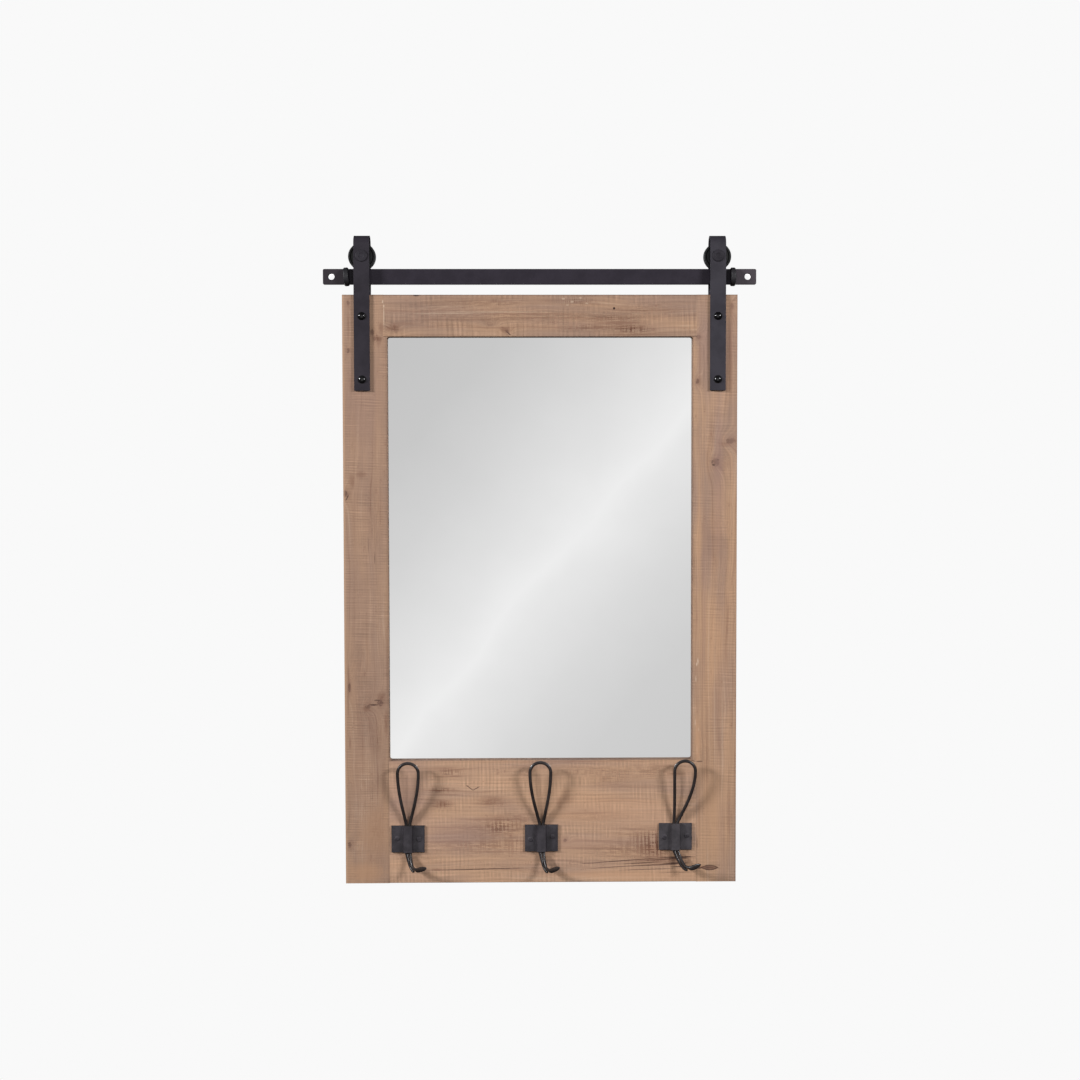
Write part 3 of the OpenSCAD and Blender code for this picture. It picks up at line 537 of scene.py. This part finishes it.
BOTTOM_MARKS = [
    (-92.7, -661.2, 5.0, 0.75, 0.9, "crack", -0.72), (-95.4, -658.8, 1.6, 0.8, 0.6, "crack"),
    (-83.8, -661.8, 4.8, 0.7, 0.8, "crack", 0.5), (-88.4, -664.0, 2.2, 0.7, 0.5, "crack"),
    (-128.0, -664.5, 26.0, 1.3, 0.40, "soft"), (-122.0, -670.0, 22.0, 1.2, 0.35, "soft"),
    (-129.0, -682.0, 15.0, 4.6, 0.42, "soft"), (-126.0, -646.0, 34.0, 1.2, 0.32, "soft"),
    (-132.0, -636.0, 30.0, 3.0, 0.30, "soft"), (-60.0, -676.0, 52.0, 5.0, 0.16, "soft"),
    # (33, -669) below is painted shadow: a dark soft spot where the middle hook's loop casts its shadow
    (-65.0, -678.6, 15.0, 6.5, 0.30, "soft"), (33.0, -669.0, 7.0, 9.0, 0.22, "soft"), (-60.0, -703.0, 60.0, 2.0, 0.34, "soft"),
    (-52.0, -700.0, 34.0, 4.0, 0.24, "soft"), (-100.0, -713.0, 74.0, 1.1, 0.36, "soft"),
    (-78.0, -768.0, 74.0, 0.7, 0.85, "crack", 0.02), (-136.0, -768.4, 11.0, 1.6, 0.5, "soft"),
    # (30, -677) and (24, -684) below are painted shadow too, along the middle hook's loop shadow
    (31.4, -730.4, 2.2, 1.8, 0.95, "knot"), (30.0, -677.0, 16.0, 6.0, 0.34, "soft"),
    (24.0, -684.0, 4.0, 8.0, 0.32, "soft"), (92.0, -677.0, 46.0, 4.0, 0.20, "soft"),
    (120.0, -661.0, 60.0, 1.2, 0.26, "soft"), (110.0, -757.6, 74.0, 0.8, 0.75, "crack", 0.07),
    (160.0, -756.4, 34.0, 1.0, 0.8, "crack", 0.05), (150.0, -763.6, 44.0, 1.0, 0.75, "crack", 0.04),
    (176.0, -761.4, 20.0, 1.5, 0.85, "crack", 0.03), (186.0, -766.0, 18.0, 1.2, 0.8, "crack"),
    (140.0, -769.4, 44.0, 0.8, 0.6, "crack", 0.03), (176.0, -773.4, 22.0, 0.8, 0.55, "crack"),
    (96.0, -766.0, 36.0, 0.7, 0.55, "crack", 0.06), (142.0, -742.0, 20.0, 6.0, 0.40, "soft"),
    (150.0, -758.0, 40.0, 7.0, 0.36, "soft"), (176.0, -644.0, 12.0, 2.2, 0.45, "soft"),
    (170.0, -634.0, 30.0, 1.6, 0.3, "soft"), (0.0, -627.6, 190.0, 1.0, 0.32, "soft"),
    (-30.0, -731.0, 60.0, 1.2, 0.34, "soft"), (-40.0, -745.0, 80.0, 1.0, 0.32, "soft"),
    (60.0, -780.0, 120.0, 3.0, 0.18, "light"), (180.0, -753.6, 22.0, 1.3, 0.85, "crack", 0.03),
    (130.0, -761.0, 30.0, 0.9, 0.70, "crack", 0.05), (198.0, -627.0, 4.4, 0.9, 0.70, "crack", -0.25),
    (120.0, -700.0, 90.0, 22.0, 0.20, "pink"), (60.0, -735.0, 60.0, 12.0, 0.22, "pink"), (-30.0, -652.0, 60.0, 0.8, 0.24, "soft"),
    (110.0, -778.0, 110.0, 8.0, 0.45, "orange"), (60.0, -690.0, 110.0, 20.0, 0.22, "orange"),
    (-176.0, -680.0, 34.0, 60.0, 0.45, "pink"), (-120.0, -720.0, 60.0, 26.0, 0.30, "pink"),
    (20.0, -735.0, 60.0, 10.0, 0.16, "pink"),
]
BOTTOM_COMBS = [(150.0, -739.0, 22.0, 15.0, 1.0), (176.0, -756.0, 26.0, 6.0, 0.7), (140.0, -726.0, 30.0, 10.0, 0.6), (-84.0, -714.0, 50.0, 7.0, 0.30), (-56.0, -713.0, 20.0, 10.0, 0.70),
                (-64.0, -679.0, 15.0, 7.0, 0.45), (-129.0, -683.0, 14.0, 6.0, 0.75), (104.0, -744.0, 40.0, 14.0, 0.40),
                (-40.0, -738.0, 60.0, 14.0, 0.40), (150.0, -640.0, 40.0, 9.0, 0.45), (-118.0, -641.0, 16.0, 6.0, 0.65),
                (-131.0, -664.0, 16.0, 4.0, 0.7), (-30.0, -706.0, 24.0, 12.0, 0.5), (-20.0, -640.0, 18.0, 10.0, 0.35),
                (-96.0, -736.0, 50.0, 8.0, 0.35), (44.0, -640.0, 30.0, 8.0, 0.35), (92.0, -648.0, 26.0, 12.0, 0.40),
                (-20.0, -768.0, 90.0, 6.0, 0.25), (70.0, -700.0, 40.0, 10.0, 0.30), (-150.0, -752.0, 24.0, 10.0, 0.25)]

M = {}
# the edges strips below are painted highlight (lighter) and painted shade (darker) along the boards' edges
M["left"] = wood("board_left", "Z", 3.0, -0.02, LEFT_MARKS, combs=LEFT_COMBS, grain=0.040, glen=150.0, cut=0.100,
                 period=3.4, bright=0.93, spread=0.5,
                 edges=[("X", -254.0, 3.4, 0.55), ("X", -196.7, 3.4, -0.22), ("Z", Z_TOP, 1.6, -0.5)])
M["right"] = wood("board_right", "Z", 17.0, 0.03, RIGHT_MARKS, combs=RIGHT_COMBS, grain=0.085, glen=420.0, cut=0.090,
                  period=3.9, contrast=1.2, bright=1.04,
                  edges=[("X", 254.0, 2.0, -0.18), ("X", 196.7, 1.6, -0.3), ("Z", Z_TOP, 1.6, -0.5)])
M["top"] = wood("board_top", "X", 31.0, -0.01, TOP_MARKS, combs=TOP_COMBS, grain=0.085, glen=300.0, cut=0.120,
                period=6.5, contrast=1.1, bright=0.955, spread=0.8,
                edges=[("Z", Z_TOP, 1.8, -0.55), ("Z", Z_OPEN_TOP, 1.6, -0.35)])
M["bottom"] = wood("board_bottom", "X", 47.0, 0.05, BOTTOM_MARKS, combs=BOTTOM_COMBS, grain=0.07, glen=240.0,
                   cut=0.095, period=5.1, rib=0.055, bright=1.19, spread=0.85,
                   edges=[("Z", Z_BOT, 2.4, 0.12), ("Z", Z_OPEN_BOT, 1.6, -0.3)])
M["left_in"] = wood("board_left_inner", "Z", 3.0, 0.02, [], inner=True)
M["right_in"] = wood("board_right_inner", "Z", 17.0, 0.03, [], inner=True)
M["top_in"] = wood("board_top_inner", "X", 31.0, 0.0, [], inner=True)
M["bottom_in"] = wood("board_bottom_inner", "X", 47.0, 0.0, [], inner=True)
M["dowel"] = raw_wood("dowel_beech", lin(206, 176, 136))
M["hardboard"] = hardboard("backing_hardboard")
# painted highlight: the rail's two ends are made lighter, standing in for the side lamps lighting them more
M["rail"] = paint("rail_paint", lin(43, 38, 46), 0.48, peel=0.7, spec=0.17, mottle=0.3,
                  ends=((247.0, 252.0, lin(78, 71, 76)), (-247.0, -252.0, lin(54, 48, 52))))
M["strap"] = paint("strap_paint", lin(42, 38, 44), 0.46, peel=0.8, spec=0.19, mottle=0.4)
M["bolt"] = paint("bolt_black", lin(14, 13, 14), 0.17, peel=0.3, wear=0.05, spec=0.5)
M["axle"] = paint("axle_black", lin(36, 33, 38), 0.52, peel=0.6, wear=0.1, spec=0.16)
# painted light: a lighter copy of the strap paint for the right strap, standing in for the stronger light on the right
# side
M["strap_right"] = paint("strap_paint_right_painted_light", lin(52, 49, 55), 0.46, peel=0.8, spec=0.2, mottle=0.4)
# painted light: a lighter copy of the hook paint for the right plate, standing in for the stronger light on the right
# side
M["hook_right"] = paint("hook_paint_right_painted_light", lin(54, 50, 53), 0.46, peel=1.8, wear=0.35, spec=0.4, scale=1.4)
M["hook"] = paint("hook_paint", lin(46, 42, 46), 0.46, peel=1.8, wear=0.35, spec=0.4, scale=1.4)
M["wire"] = paint("wire_black", lin(37, 32, 31), 0.33, peel=0.4, wear=0.15, spec=0.38, scale=1.2)
M["roller"] = paint("roller_black", lin(18, 18, 18), 0.40, peel=0.6, wear=0.05, spec=0.35)
M["screw"] = paint("screw_black", lin(56, 52, 56), 0.55, peel=0.6, wear=0.2, spec=0.22, scale=1.4)
M["stop"] = rubber("stop_rubber", lin(30, 28, 31), 1.35)
M["bumper"] = rubber("bumper_rubber", lin(24, 24, 26))
M["nylon"] = plastic("spacer_nylon", lin(248, 248, 247))
# painted light: the sleeves' bore is white nylon with a glow that stands in for light from the pale wall
M["nylon_bore"] = plastic("spacer_nylon_bore", lin(252, 252, 252))
M["nylon_bore"].node_tree.nodes["Principled BSDF"].inputs["Emission Color"].default_value = (1.0, 1.0, 1.0, 1.0)
M["nylon_bore"].node_tree.nodes["Principled BSDF"].inputs["Emission Strength"].default_value = 0.7
M["zinc"] = metal("zinc_plate", lin(200, 200, 198), 0.36, 0.6)
M["sleeve"] = metal("axle_sleeve", lin(120, 116, 118), 0.4, 0.4)
M["bronze"] = metal("bush_bronze", lin(186, 150, 96), 0.34, 0.4)
M["mirror"] = mirror_face("mirror_silver")
M["glass_edge"] = glass_edge("glass_edge")
M["mirror_back"] = paint("mirror_back_paint", lin(92, 96, 98), 0.6, wear=0.1)


# ---------------------------------------------------------------- pieces
def settle(ob):
    """Applies the modifiers."""
    dg = bpy.context.evaluated_depsgraph_get()
    me = bpy.data.meshes.new_from_object(ob.evaluated_get(dg), preserve_all_data_layers=True, depsgraph=dg)
    ob.modifiers.clear()
    ob.data = me
    return ob


def dress(ob, node):
    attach(ob, N[node]["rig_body"])
    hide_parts(node)
    return ob


def eased(node, name, mats, width=0.0003, segments=2, weight=None, face_mat=None, sharp=30.0):
    """A copy of a CAD node with eased edges and smooth shading, which stands
    for the node. weight gives an edge's share of the width."""
    bm = bmesh.new()
    bm.from_mesh(N[node].data)
    bmesh.ops.remove_doubles(bm, verts=bm.verts, dist=2e-6)
    bmesh.ops.dissolve_limit(bm, angle_limit=radians(0.3), verts=bm.verts, edges=bm.edges)
    bm.normal_update()
    wl = bm.edges.layers.float.new("bevel_weight_edge")
    for e in bm.edges:
        if len(e.link_faces) == 2 and e.calc_face_angle() > radians(sharp):
            e[wl] = 1.0 if weight is None else max(0.0, min(1.0, weight(e)))
            if e[wl] == 0.0:
                e.smooth = False
    for f in bm.faces:
        f.smooth = True
        f.material_index = face_mat(f) if face_mat else 0
    me = bpy.data.meshes.new(name)
    bm.to_mesh(me)
    bm.free()
    ob = bpy.data.objects.new(name, me)
    COL.objects.link(ob)
    for mt in mats:
        me.materials.append(mt)
    b = ob.modifiers.new("ease", "BEVEL")
    b.limit_method = "WEIGHT"
    b.width = width
    b.segments = segments
    b.use_clamp_overlap = True
    w = ob.modifiers.new("normals", "WEIGHTED_NORMAL")
    w.keep_sharp = True
    w.weight = 80
    settle(ob)
    return dress(ob, node)


def mid(e):
    return (e.verts[0].co + e.verts[1].co) / 2 * 1000


def board_weight(e):
    """Full ease round the outside, less round the glass, a hair at the joints."""
    c = mid(e)
    d = (e.verts[0].co - e.verts[1].co) * 1000
    if e.calc_length() < 0.0009:
        return 0.0
    outer_x = abs(abs(c.x) - 254.0) < 0.05
    outer_z = abs(c.z - Z_TOP) < 0.05 or abs(c.z - Z_BOT) < 0.05
    if abs(d.y) > 0.9 * d.length:
        return 1.0 if outer_x and outer_z else 0.06
    if outer_x or outer_z:
        return 0.55
    hole = abs(abs(c.x) - OPEN_HALF) < 0.05 or abs(c.z - Z_OPEN_TOP) < 0.05 or abs(c.z - Z_OPEN_BOT) < 0.05
    if hole and abs(c.y - Y_FRONT) < 0.05 and abs(c.x) < OPEN_HALF + 0.3:
        return 0.32
    return 0.05


def board_face(f):
    c = f.calc_center_median() * 1000
    n = f.normal
    inside = abs(c.x) < OPEN_HALF + 0.05 and Z_OPEN_BOT - 0.05 < c.z < Z_OPEN_TOP + 0.05
    return 1 if inside and abs(n.y) < 0.5 and c.y < Y_GLASS + 0.5 else 0


for node, key in (("left_stile", "left"), ("right_stile", "right"), ("top_board", "top"), ("bottom_board", "bottom")):
    eased(node, node + "_wood", [M[key], M[key + "_in"]], width=0.0021, segments=3,
          weight=board_weight, face_mat=board_face)


def glass_face(f):
    return 0 if f.normal.y < -0.9 else (2 if f.normal.y > 0.9 else 1)


pane = eased("mirror_glass", "mirror_pane", [M["mirror"], M["glass_edge"], M["mirror_back"]],
      width=0.0004, segments=1, face_mat=glass_face)
eased("backing_board", "backing_panel", [M["hardboard"]], width=0.0003)
eased("backing_plates", "retainer_plates", [M["zinc"]], width=0.0002)
eased("rail_bar", "rail_flat", [M["rail"]], width=0.00035, segments=3, sharp=20)


def bore_face(f):
    """The sleeve's bore, which carries a painted glow that stands in for the pale wall's light."""
    c, n = f.calc_center_median(), f.normal
    a = Vector((c.x - (0.268 if c.x > 0 else -0.268), 0, c.z))
    return 1 if abs(n.y) < 0.5 and a.dot(n) < 0 else 0


for s in ("left", "right"):
    # the right strap takes the lighter copy of the paint, which is painted light
    eased("hanger_strap_" + s, "strap_" + s, [M["strap" if s == "left" else "strap_right"]], width=0.0005, segments=3)
    eased("roller_" + s, "wheel_" + s, [M["roller"]], width=0.00022, sharp=20)
    eased("axle_bolt_" + s, "axle_" + s, [M["axle"]], width=0.00018, sharp=20)
    eased("rail_stop_" + s, "stop_" + s, [M["stop"]], width=0.0002, sharp=40)
    eased("rail_spacer_" + s, "sleeve_" + s, [M["nylon"], M["nylon_bore"]], width=0.0003,
          face_mat=bore_face)
eased("hanger_bolts", "strap_bolts", [M["bolt"]], width=0.0003, sharp=50)
eased("hanger_nuts", "strap_nuts", [M["bolt"]], width=0.0003)
eased("axle_nuts", "axle_end_nuts", [M["bolt"]], width=0.0003)
eased("wall_bumpers", "back_bumpers", [M["bumper"]], width=0.0003)
for s in ("left", "middle", "right"):
    # the right plate takes the lighter copy of the paint, which is painted light
    eased("hook_plate_" + s, "plate_" + s, [M["hook_right" if s == "right" else "hook"]], width=0.0004, segments=3)
heads = eased("hook_screws", "plate_screws", [M["screw"]], width=0.00012, sharp=40)
for v in heads.data.vertices:
    if v.co.y < -0.013:
        v.co.y = -0.013 + (v.co.y + 0.013) * 0.5

# inner and rear CAD nodes keep their shape
for node, key in (("frame_dowels", "dowel"), ("backing_screws", "zinc"), ("axle_spacers", "sleeve"),
                  ("roller_bush_left", "bronze"), ("roller_bush_right", "bronze")):
    N[node].data.materials.clear()
    N[node].data.materials.append(M[key])

# ---------------------------------------------------------------- hook wires
WIRE_D, PLATE_H, REACH = 4.2, 35.0, 15.0
HALF0, LOOP_R, LIFT = WIRE_D / 2 + 0.05, 13.4, 87.8
HOOKS = [(-172.9, -727.4, 1.05, 40, 39.5, 13.0, 38.0, 0.48, 30.2), (0.5, -727.0, -1.45, 35, 39.5, 13.4, 39.9, 0.48, 30.4),
         (175.0, -725.8, 11.2, 56, 36.5, 17.2, 39.6, 0.60, 31.6)]


def bez(p, t):
    return [(1 - t) ** 3 * p[0][i] + 3 * t * (1 - t) ** 2 * p[1][i] + 3 * t * t * (1 - t) * p[2][i] + t ** 3 * p[3][i]
            for i in range(2)]


def ease(x):
    x = min(1.0, max(0.0, x))
    return x * x * (3 - 2 * x)


def out_at(w):
    t = max(0.0, (w - PLATE_H / 2) / (LIFT + LOOP_R - PLATE_H / 2))
    h = (sqrt(t * t + 0.0025) - 0.05) / (sqrt(1.0025) - 0.05)
    return HALF0 + (REACH - HALF0) * (h + 0.6 * h * (1 - h))


def prong(t, h):
    q, m, d, o, e = h[4:9]
    if t < 0.5:
        return bez([(0, -PLATE_H / 2), (0.24 * m, -26), (o * m, -d), (m, -d)], t * 2)
    return bez([(m, -d), (m + 5.5, -d), (m + 0.52 * (q - m), -(d + e) / 2 - 0.4), (q, -e)], t * 2 - 1)


def twist(t, h):
    a = radians(h[3])
    return a + (pi / 2 - a) * ease(t / 0.45)


def prong_side(t, h):
    f, a = twist(t, h), radians(h[3])
    p0, p1 = prong(max(0.0, t - 0.001), h), prong(min(1.0, t + 0.001), h)
    d = Vector((p1[0] - p0[0], p1[1] - p0[1])).normalized()
    d = Vector((d[0] * ease((t + 0.06) / 0.12), d[1])).normalized()
    return (Vector((cos(a), -sin(a), 0)) * cos(f)
            + Vector((-d[1] * sin(a), -d[1] * cos(a), d[0])) * sin(f))


def prong_pt(t, h, s):
    q, a = prong(t, h), radians(h[3])
    g = HALF0 * (1 - 0.1 * ease(t / 0.2))
    o = -g if s < 0 else g * (1 - ease((t - 0.5) / 0.2))
    c = Vector((q[0] * sin(a), HALF0 * (1 + sin(twist(t, h) - a)) + 0.15 * ease(t / 0.1) + q[0] * cos(a), q[1]))
    return c + prong_side(t, h) * o


def prong_size(t, s):
    r, k = WIRE_D / 2, ease(t / 0.2)
    u, v = r - 0.22 * k, r - 0.42 * k
    e, f = (0.0 if s < 0 else ease((t - 0.54) / 0.18)), max(0.0, (t - 0.84) / 0.16)
    return (u + (3.15 - u) * e) * sqrt(1 - 0.93 * f * f), (v + (1.3 - v) * e) * sqrt(1 - 0.8 * f * f)


def wire_path(h):
    lean = h[2]

    def side(w):
        return lean * sin(pi / 2 * min(1.0, max(0.0, (w - PLATE_H / 2) / (LIFT - PLATE_H / 2))))
    P, S, Z = [], [], []
    r = WIRE_D / 2
    n1, n2, n3, n4 = 34, 26, 36, 80
    for k in range(n1, -1, -1):
        t = 0.505 * k / n1
        P.append(prong_pt(t, h, -1))
        S.append(-prong_side(t, h))
        f = max(0.0, (k - n1 + 3) / 3.0)
        z = prong_size(t, -1)
        Z.append((z[0] * sqrt(1 - 0.62 * f * f), z[1] * sqrt(1 - 0.62 * f * f)))
    for k in range(0, n2):
        t = k / n2 * (0.5 + 0.5 * k / n2)
        w = PLATE_H / 2 + t * (LIFT - PLATE_H / 2)
        P.append(Vector((-(HALF0 + (LOOP_R - HALF0) * sin(radians(90 * t ** 1.1))) + side(w), out_at(w), w)))
        S.append(Vector((-1, 0, 0)))
        Z.append((r, r))
    for k in range(n3 + 1):
        b = radians(180 - 180.0 * k / n3)
        w = LIFT + LOOP_R * sin(b)
        P.append(Vector((LOOP_R * cos(b) + side(w), out_at(w), w)))
        S.append(Vector((cos(b), 0, sin(b))))
        Z.append((r, r))
    for k in range(n2 - 1, -1, -1):
        t = k / n2 * (0.5 + 0.5 * k / n2)
        w = PLATE_H / 2 + t * (LIFT - PLATE_H / 2)
        P.append(Vector((HALF0 + (LOOP_R - HALF0) * sin(radians(90 * t ** 1.1)) + side(w), out_at(w), w)))
        S.append(Vector((1, 0, 0)))
        Z.append((r, r))
    for k in range(n4 + 1):
        t = k / n4
        P.append(prong_pt(t, h, 1))
        S.append(prong_side(t, h))
        Z.append(prong_size(t, 1))
    return P, S, Z


def hook_wire(i, node, name):
    hx, hz = HOOKS[i][:2]
    P, S, Z = wire_path(HOOKS[i])
    m = 20
    bm = bmesh.new()
    rings = []
    for k in range(len(P)):
        d = (P[min(k + 1, len(P) - 1)] - P[max(k - 1, 0)]).normalized()
        u = (S[k] - d * S[k].dot(d)).normalized()
        v = d.cross(u)
        ring = []
        for j in range(m):
            t = 2 * pi * j / m
            p = P[k] + u * (Z[k][0] * cos(t)) * 0.995 + v * (Z[k][1] * sin(t)) * 0.995
            ring.append(bm.verts.new(((hx + p.x) / 1000, (Y_FRONT - p.y) / 1000, (hz + p.z) / 1000)))
            ring[-1].co.y = max(ring[-1].co.y, cad_lo.y + 2e-5)
        rings.append(ring)
    for k in range(len(rings) - 1):
        for j in range(m):
            bm.faces.new((rings[k][j], rings[k][(j + 1) % m], rings[k + 1][(j + 1) % m], rings[k + 1][j]))
    # round both ends off a little
    for ring, s in ((rings[0], 1), (rings[-1], -1)):
        c = sum((v.co for v in ring), Vector()) / m
        k = 0 if s == 1 else len(P) - 1
        k2 = 1 if s == 1 else len(P) - 2
        d = (P[k] - P[k2]).normalized()
        d = Vector((d.x, -d.y, d.z)) * 0.0006
        inner = [bm.verts.new(c + (v.co - c) * 0.55 + d) for v in ring]
        for v in inner:
            v.co.y = max(v.co.y, cad_lo.y + 2e-5)
        for j in range(m):
            f = (ring[j], inner[j], inner[(j + 1) % m], ring[(j + 1) % m])
            bm.faces.new(f if s == -1 else f[::-1])
        bm.faces.new(inner if s == -1 else inner[::-1])
    bmesh.ops.recalc_face_normals(bm, faces=bm.faces)
    for f in bm.faces:
        f.smooth = True
    me = bpy.data.meshes.new(name)
    bm.to_mesh(me)
    bm.free()
    me.materials.append(M["wire"])
    ob = bpy.data.objects.new(name, me)
    COL.objects.link(ob)
    ob.visible_glossy = False
    dress(ob, node)


for i, s in enumerate(("left", "middle", "right")):
    hook_wire(i, "hook_wire_" + s, "wire_" + s)

# ---------------------------------------------------------------- camera
CAM = Vector((-0.02815, -2.0103, -0.2560))
YAW, PITCH, ROLL, FOCAL = 0.01375, -0.04149, -0.00185, 1549.0
fw = Vector((sin(YAW) * cos(PITCH), cos(YAW) * cos(PITCH), sin(PITCH)))
r0 = Vector((cos(YAW), -sin(YAW), 0))
u0 = r0.cross(fw)
cr = r0 * cos(ROLL) + u0 * sin(ROLL)
cu = -r0 * sin(ROLL) + u0 * cos(ROLL)
cam_data = bpy.data.cameras.new("camera")
cam_data.sensor_width = 36.0
cam_data.lens = FOCAL / 1080 * 36.0
cam_data.clip_start, cam_data.clip_end = 0.05, 60.0
cam = bpy.data.objects.new("camera", cam_data)
COL.objects.link(cam)
rot = Matrix(((cr.x, cu.x, -fw.x), (cr.y, cu.y, -fw.y), (cr.z, cu.z, -fw.z)))
cam.matrix_world = Matrix.Translation(CAM) @ rot.to_4x4()
SC.camera = cam

# ---------------------------------------------------------------- stage
WHITE = 0.9473


def glow(name, colour, strength=1.0):
    m = bpy.data.materials.new(name)
    m.use_nodes = True
    nt = m.node_tree
    nt.nodes.clear()
    out = nt.nodes.new("ShaderNodeOutputMaterial")
    e = nt.nodes.new("ShaderNodeEmission")
    e.inputs["Color"].default_value = colour
    e.inputs["Strength"].default_value = strength
    nt.links.new(e.outputs[0], out.inputs[0])
    return m, nt, e


def only_camera(ob):
    ob.visible_diffuse = False
    ob.visible_glossy = False
    ob.visible_transmission = False
    ob.visible_volume_scatter = False
    ob.visible_shadow = False


# backdrop: a pale room seen only by the camera, and a pale floor
bm = bmesh.new()
bmesh.ops.create_uvsphere(bm, u_segments=48, v_segments=24, radius=20.0)
bmesh.ops.reverse_faces(bm, faces=bm.faces)
me = bpy.data.meshes.new("backdrop")
bm.to_mesh(me)
bm.free()
backdrop = bpy.data.objects.new("backdrop", me)
COL.objects.link(backdrop)
me.materials.append(glow("backdrop_white", (WHITE, WHITE, WHITE, 1.0))[0])
only_camera(backdrop)

bm = bmesh.new()
bmesh.ops.create_grid(bm, x_segments=4, y_segments=4, size=14.0)
me = bpy.data.meshes.new("floor")
bm.to_mesh(me)
bm.free()
floor = bpy.data.objects.new("floor", me)
floor.location = (0, 0, -1.62)
COL.objects.link(floor)
me.materials.append(glow("floor_white", (WHITE, WHITE, WHITE, 1.0))[0])
only_camera(floor)

# the studio wall behind the camera, which the mirror shows: a soft ridge of
# light that runs up to the right
PANEL_Y = -3.6
bm = bmesh.new()
vs = [bm.verts.new(p) for p in ((-2.0, PANEL_Y, -2.4), (2.0, PANEL_Y, -2.4), (2.0, PANEL_Y, 1.6), (-2.0, PANEL_Y, 1.6))]
bm.faces.new(vs[::-1])
me = bpy.data.meshes.new("studio_wall")
bm.to_mesh(me)
bm.free()
wall = bpy.data.objects.new("studio_wall", me)
COL.objects.link(wall)
wall.visible_camera = False
wall.visible_shadow = False
wall.visible_diffuse = False


def panel_point(px, py):
    """Where a photo pixel's line of sight, turned back by the mirror, meets the wall."""
    d = fw + cr * ((px - 540) / FOCAL) - cu * ((py - 540) / FOCAL)
    yg = Y_GLASS / 1000
    t = (yg - CAM.y) / d.y
    g = CAM + d * t
    s = (PANEL_Y - yg) / -d.y
    return Vector((g.x + d.x * s, PANEL_Y, g.z + d.z * s))


def ridge(px, py):
    return 0.756 * px + 0.654 * py - 787.0


p0, p1, p2 = panel_point(540, 540), panel_point(640, 540), panel_point(540, 640)
s0, s1, s2 = ridge(540, 540), ridge(640, 540), ridge(540, 640)
A = Matrix(((p1.x - p0.x, p1.z - p0.z), (p2.x - p0.x, p2.z - p0.z)))
ga, gb = A.inverted() @ Vector((s1 - s0, s2 - s0))
gc = s0 - ga * p0.x - gb * p0.z
m, nt, e = glow("studio_wall_light", (1, 1, 1, 1), 1.0)
n = Nodes(nt)
t = n.new("ShaderNodeTexCoord")
o = n.sep(t.outputs["Object"])
s = n.add(n.add(n.mul(o[0], ga), n.mul(o[2], gb)), gc)
s = n.add(s, n.mul(n.sub(n.noise(t.outputs["Object"], 2.6, 3.0, 0.6), 0.5), 46.0))
LO, HI = -400.0, 300.0
stops = [(-400, 195), (-260, 196), (-190, 200), (-125, 211), (-35, 229), (0, 238), (20, 231), (80, 218),
         (150, 207), (300, 200)]
f = n.m("MULTIPLY", n.sub(s, LO), 1 / (HI - LO), clamp=True)
GLASS_R = 0.925
ramp = n.ramp(f, [((a - LO) / (HI - LO), lin(c, c, c, 1 / GLASS_R)) for a, c in stops])
nt.links.new(ramp, e.inputs["Color"])
me.materials.append(m)

# the rest of the pale room, which only the mirror shows, from other sides
bm = bmesh.new()
bmesh.ops.create_uvsphere(bm, u_segments=32, v_segments=16, radius=12.0)
bmesh.ops.reverse_faces(bm, faces=bm.faces)
me = bpy.data.meshes.new("room")
bm.to_mesh(me)
bm.free()
room = bpy.data.objects.new("room", me)
COL.objects.link(room)
m, nt, e = glow("room_light", (1, 1, 1, 1), 1.0)
n = Nodes(nt)
t = n.new("ShaderNodeTexCoord")
o = n.sep(t.outputs["Object"])
f = n.m("MULTIPLY", n.add(o[2], 12.0), 1 / 24.0, clamp=True)
nt.links.new(n.ramp(f, [(0.0, lin(176, 176, 176)), (0.5, lin(196, 196, 196)), (1.0, lin(214, 214, 214))]), e.inputs["Color"])
m.cycles.emission_sampling = "NONE"
me.materials.append(m)
only_camera(room)
room.visible_camera = False
room.visible_glossy = True
seen = bpy.data.collections.new("mirror_only")
seen.objects.link(pane)
room.light_linking.receiver_collection = seen

# ---------------------------------------------------------------- light
w = bpy.data.worlds.new("world")
SC.world = w
w.use_nodes = True
w.node_tree.nodes["Background"].inputs[0].default_value = (1.0, 0.99, 0.985, 1.0)
w.node_tree.nodes["Background"].inputs[1].default_value = 0.06


def lamp(name, az, el, dist, power, sx, sy, aim=(0.0, 0.0, -0.48), colour=(1, 1, 1)):
    """A softbox at azimuth az (0 in front, positive to the right) and height el."""
    d = bpy.data.lights.new(name, "AREA")
    d.shape = "RECTANGLE"
    d.size, d.size_y = sx, sy
    d.energy = power
    d.color = colour
    ob = bpy.data.objects.new(name, d)
    COL.objects.link(ob)
    a, e = radians(az), radians(el)
    at = Vector(aim)
    ob.location = at + Vector((sin(a) * cos(e), -cos(a) * cos(e), sin(e))) * dist
    ob.rotation_mode = "QUATERNION"
    ob.rotation_quaternion = (at - ob.location).to_track_quat("-Z", "Y")
    ob.visible_camera = False
    return ob


KEY = (0.985, 1.0, 1.03)
lamp("key_left", -63, 24, 3.4, 95, 0.64, 0.5, aim=(0.0, 0.0, -0.63), colour=KEY)
lamp("key_right", 52, 24, 3.4, 70, 0.86, 0.5, aim=(0.0, 0.0, -0.63), colour=KEY)
fill = lamp("fill", -4, 12, 3.4, 16, 2.0, 2.0, colour=KEY)
fill.visible_glossy = False
lamp("rear_left", -145, 4, 2.2, 14, 0.9, 0.9)
lamp("rear_right", 145, 4, 2.2, 14, 0.9, 0.9)

SC.cycles.use_denoising = True
SC.cycles.denoiser = "OPENIMAGEDENOISE"
SC.cycles.denoising_input_passes = "RGB_ALBEDO_NORMAL"
SC.cycles.sample_clamp_indirect = 6.0
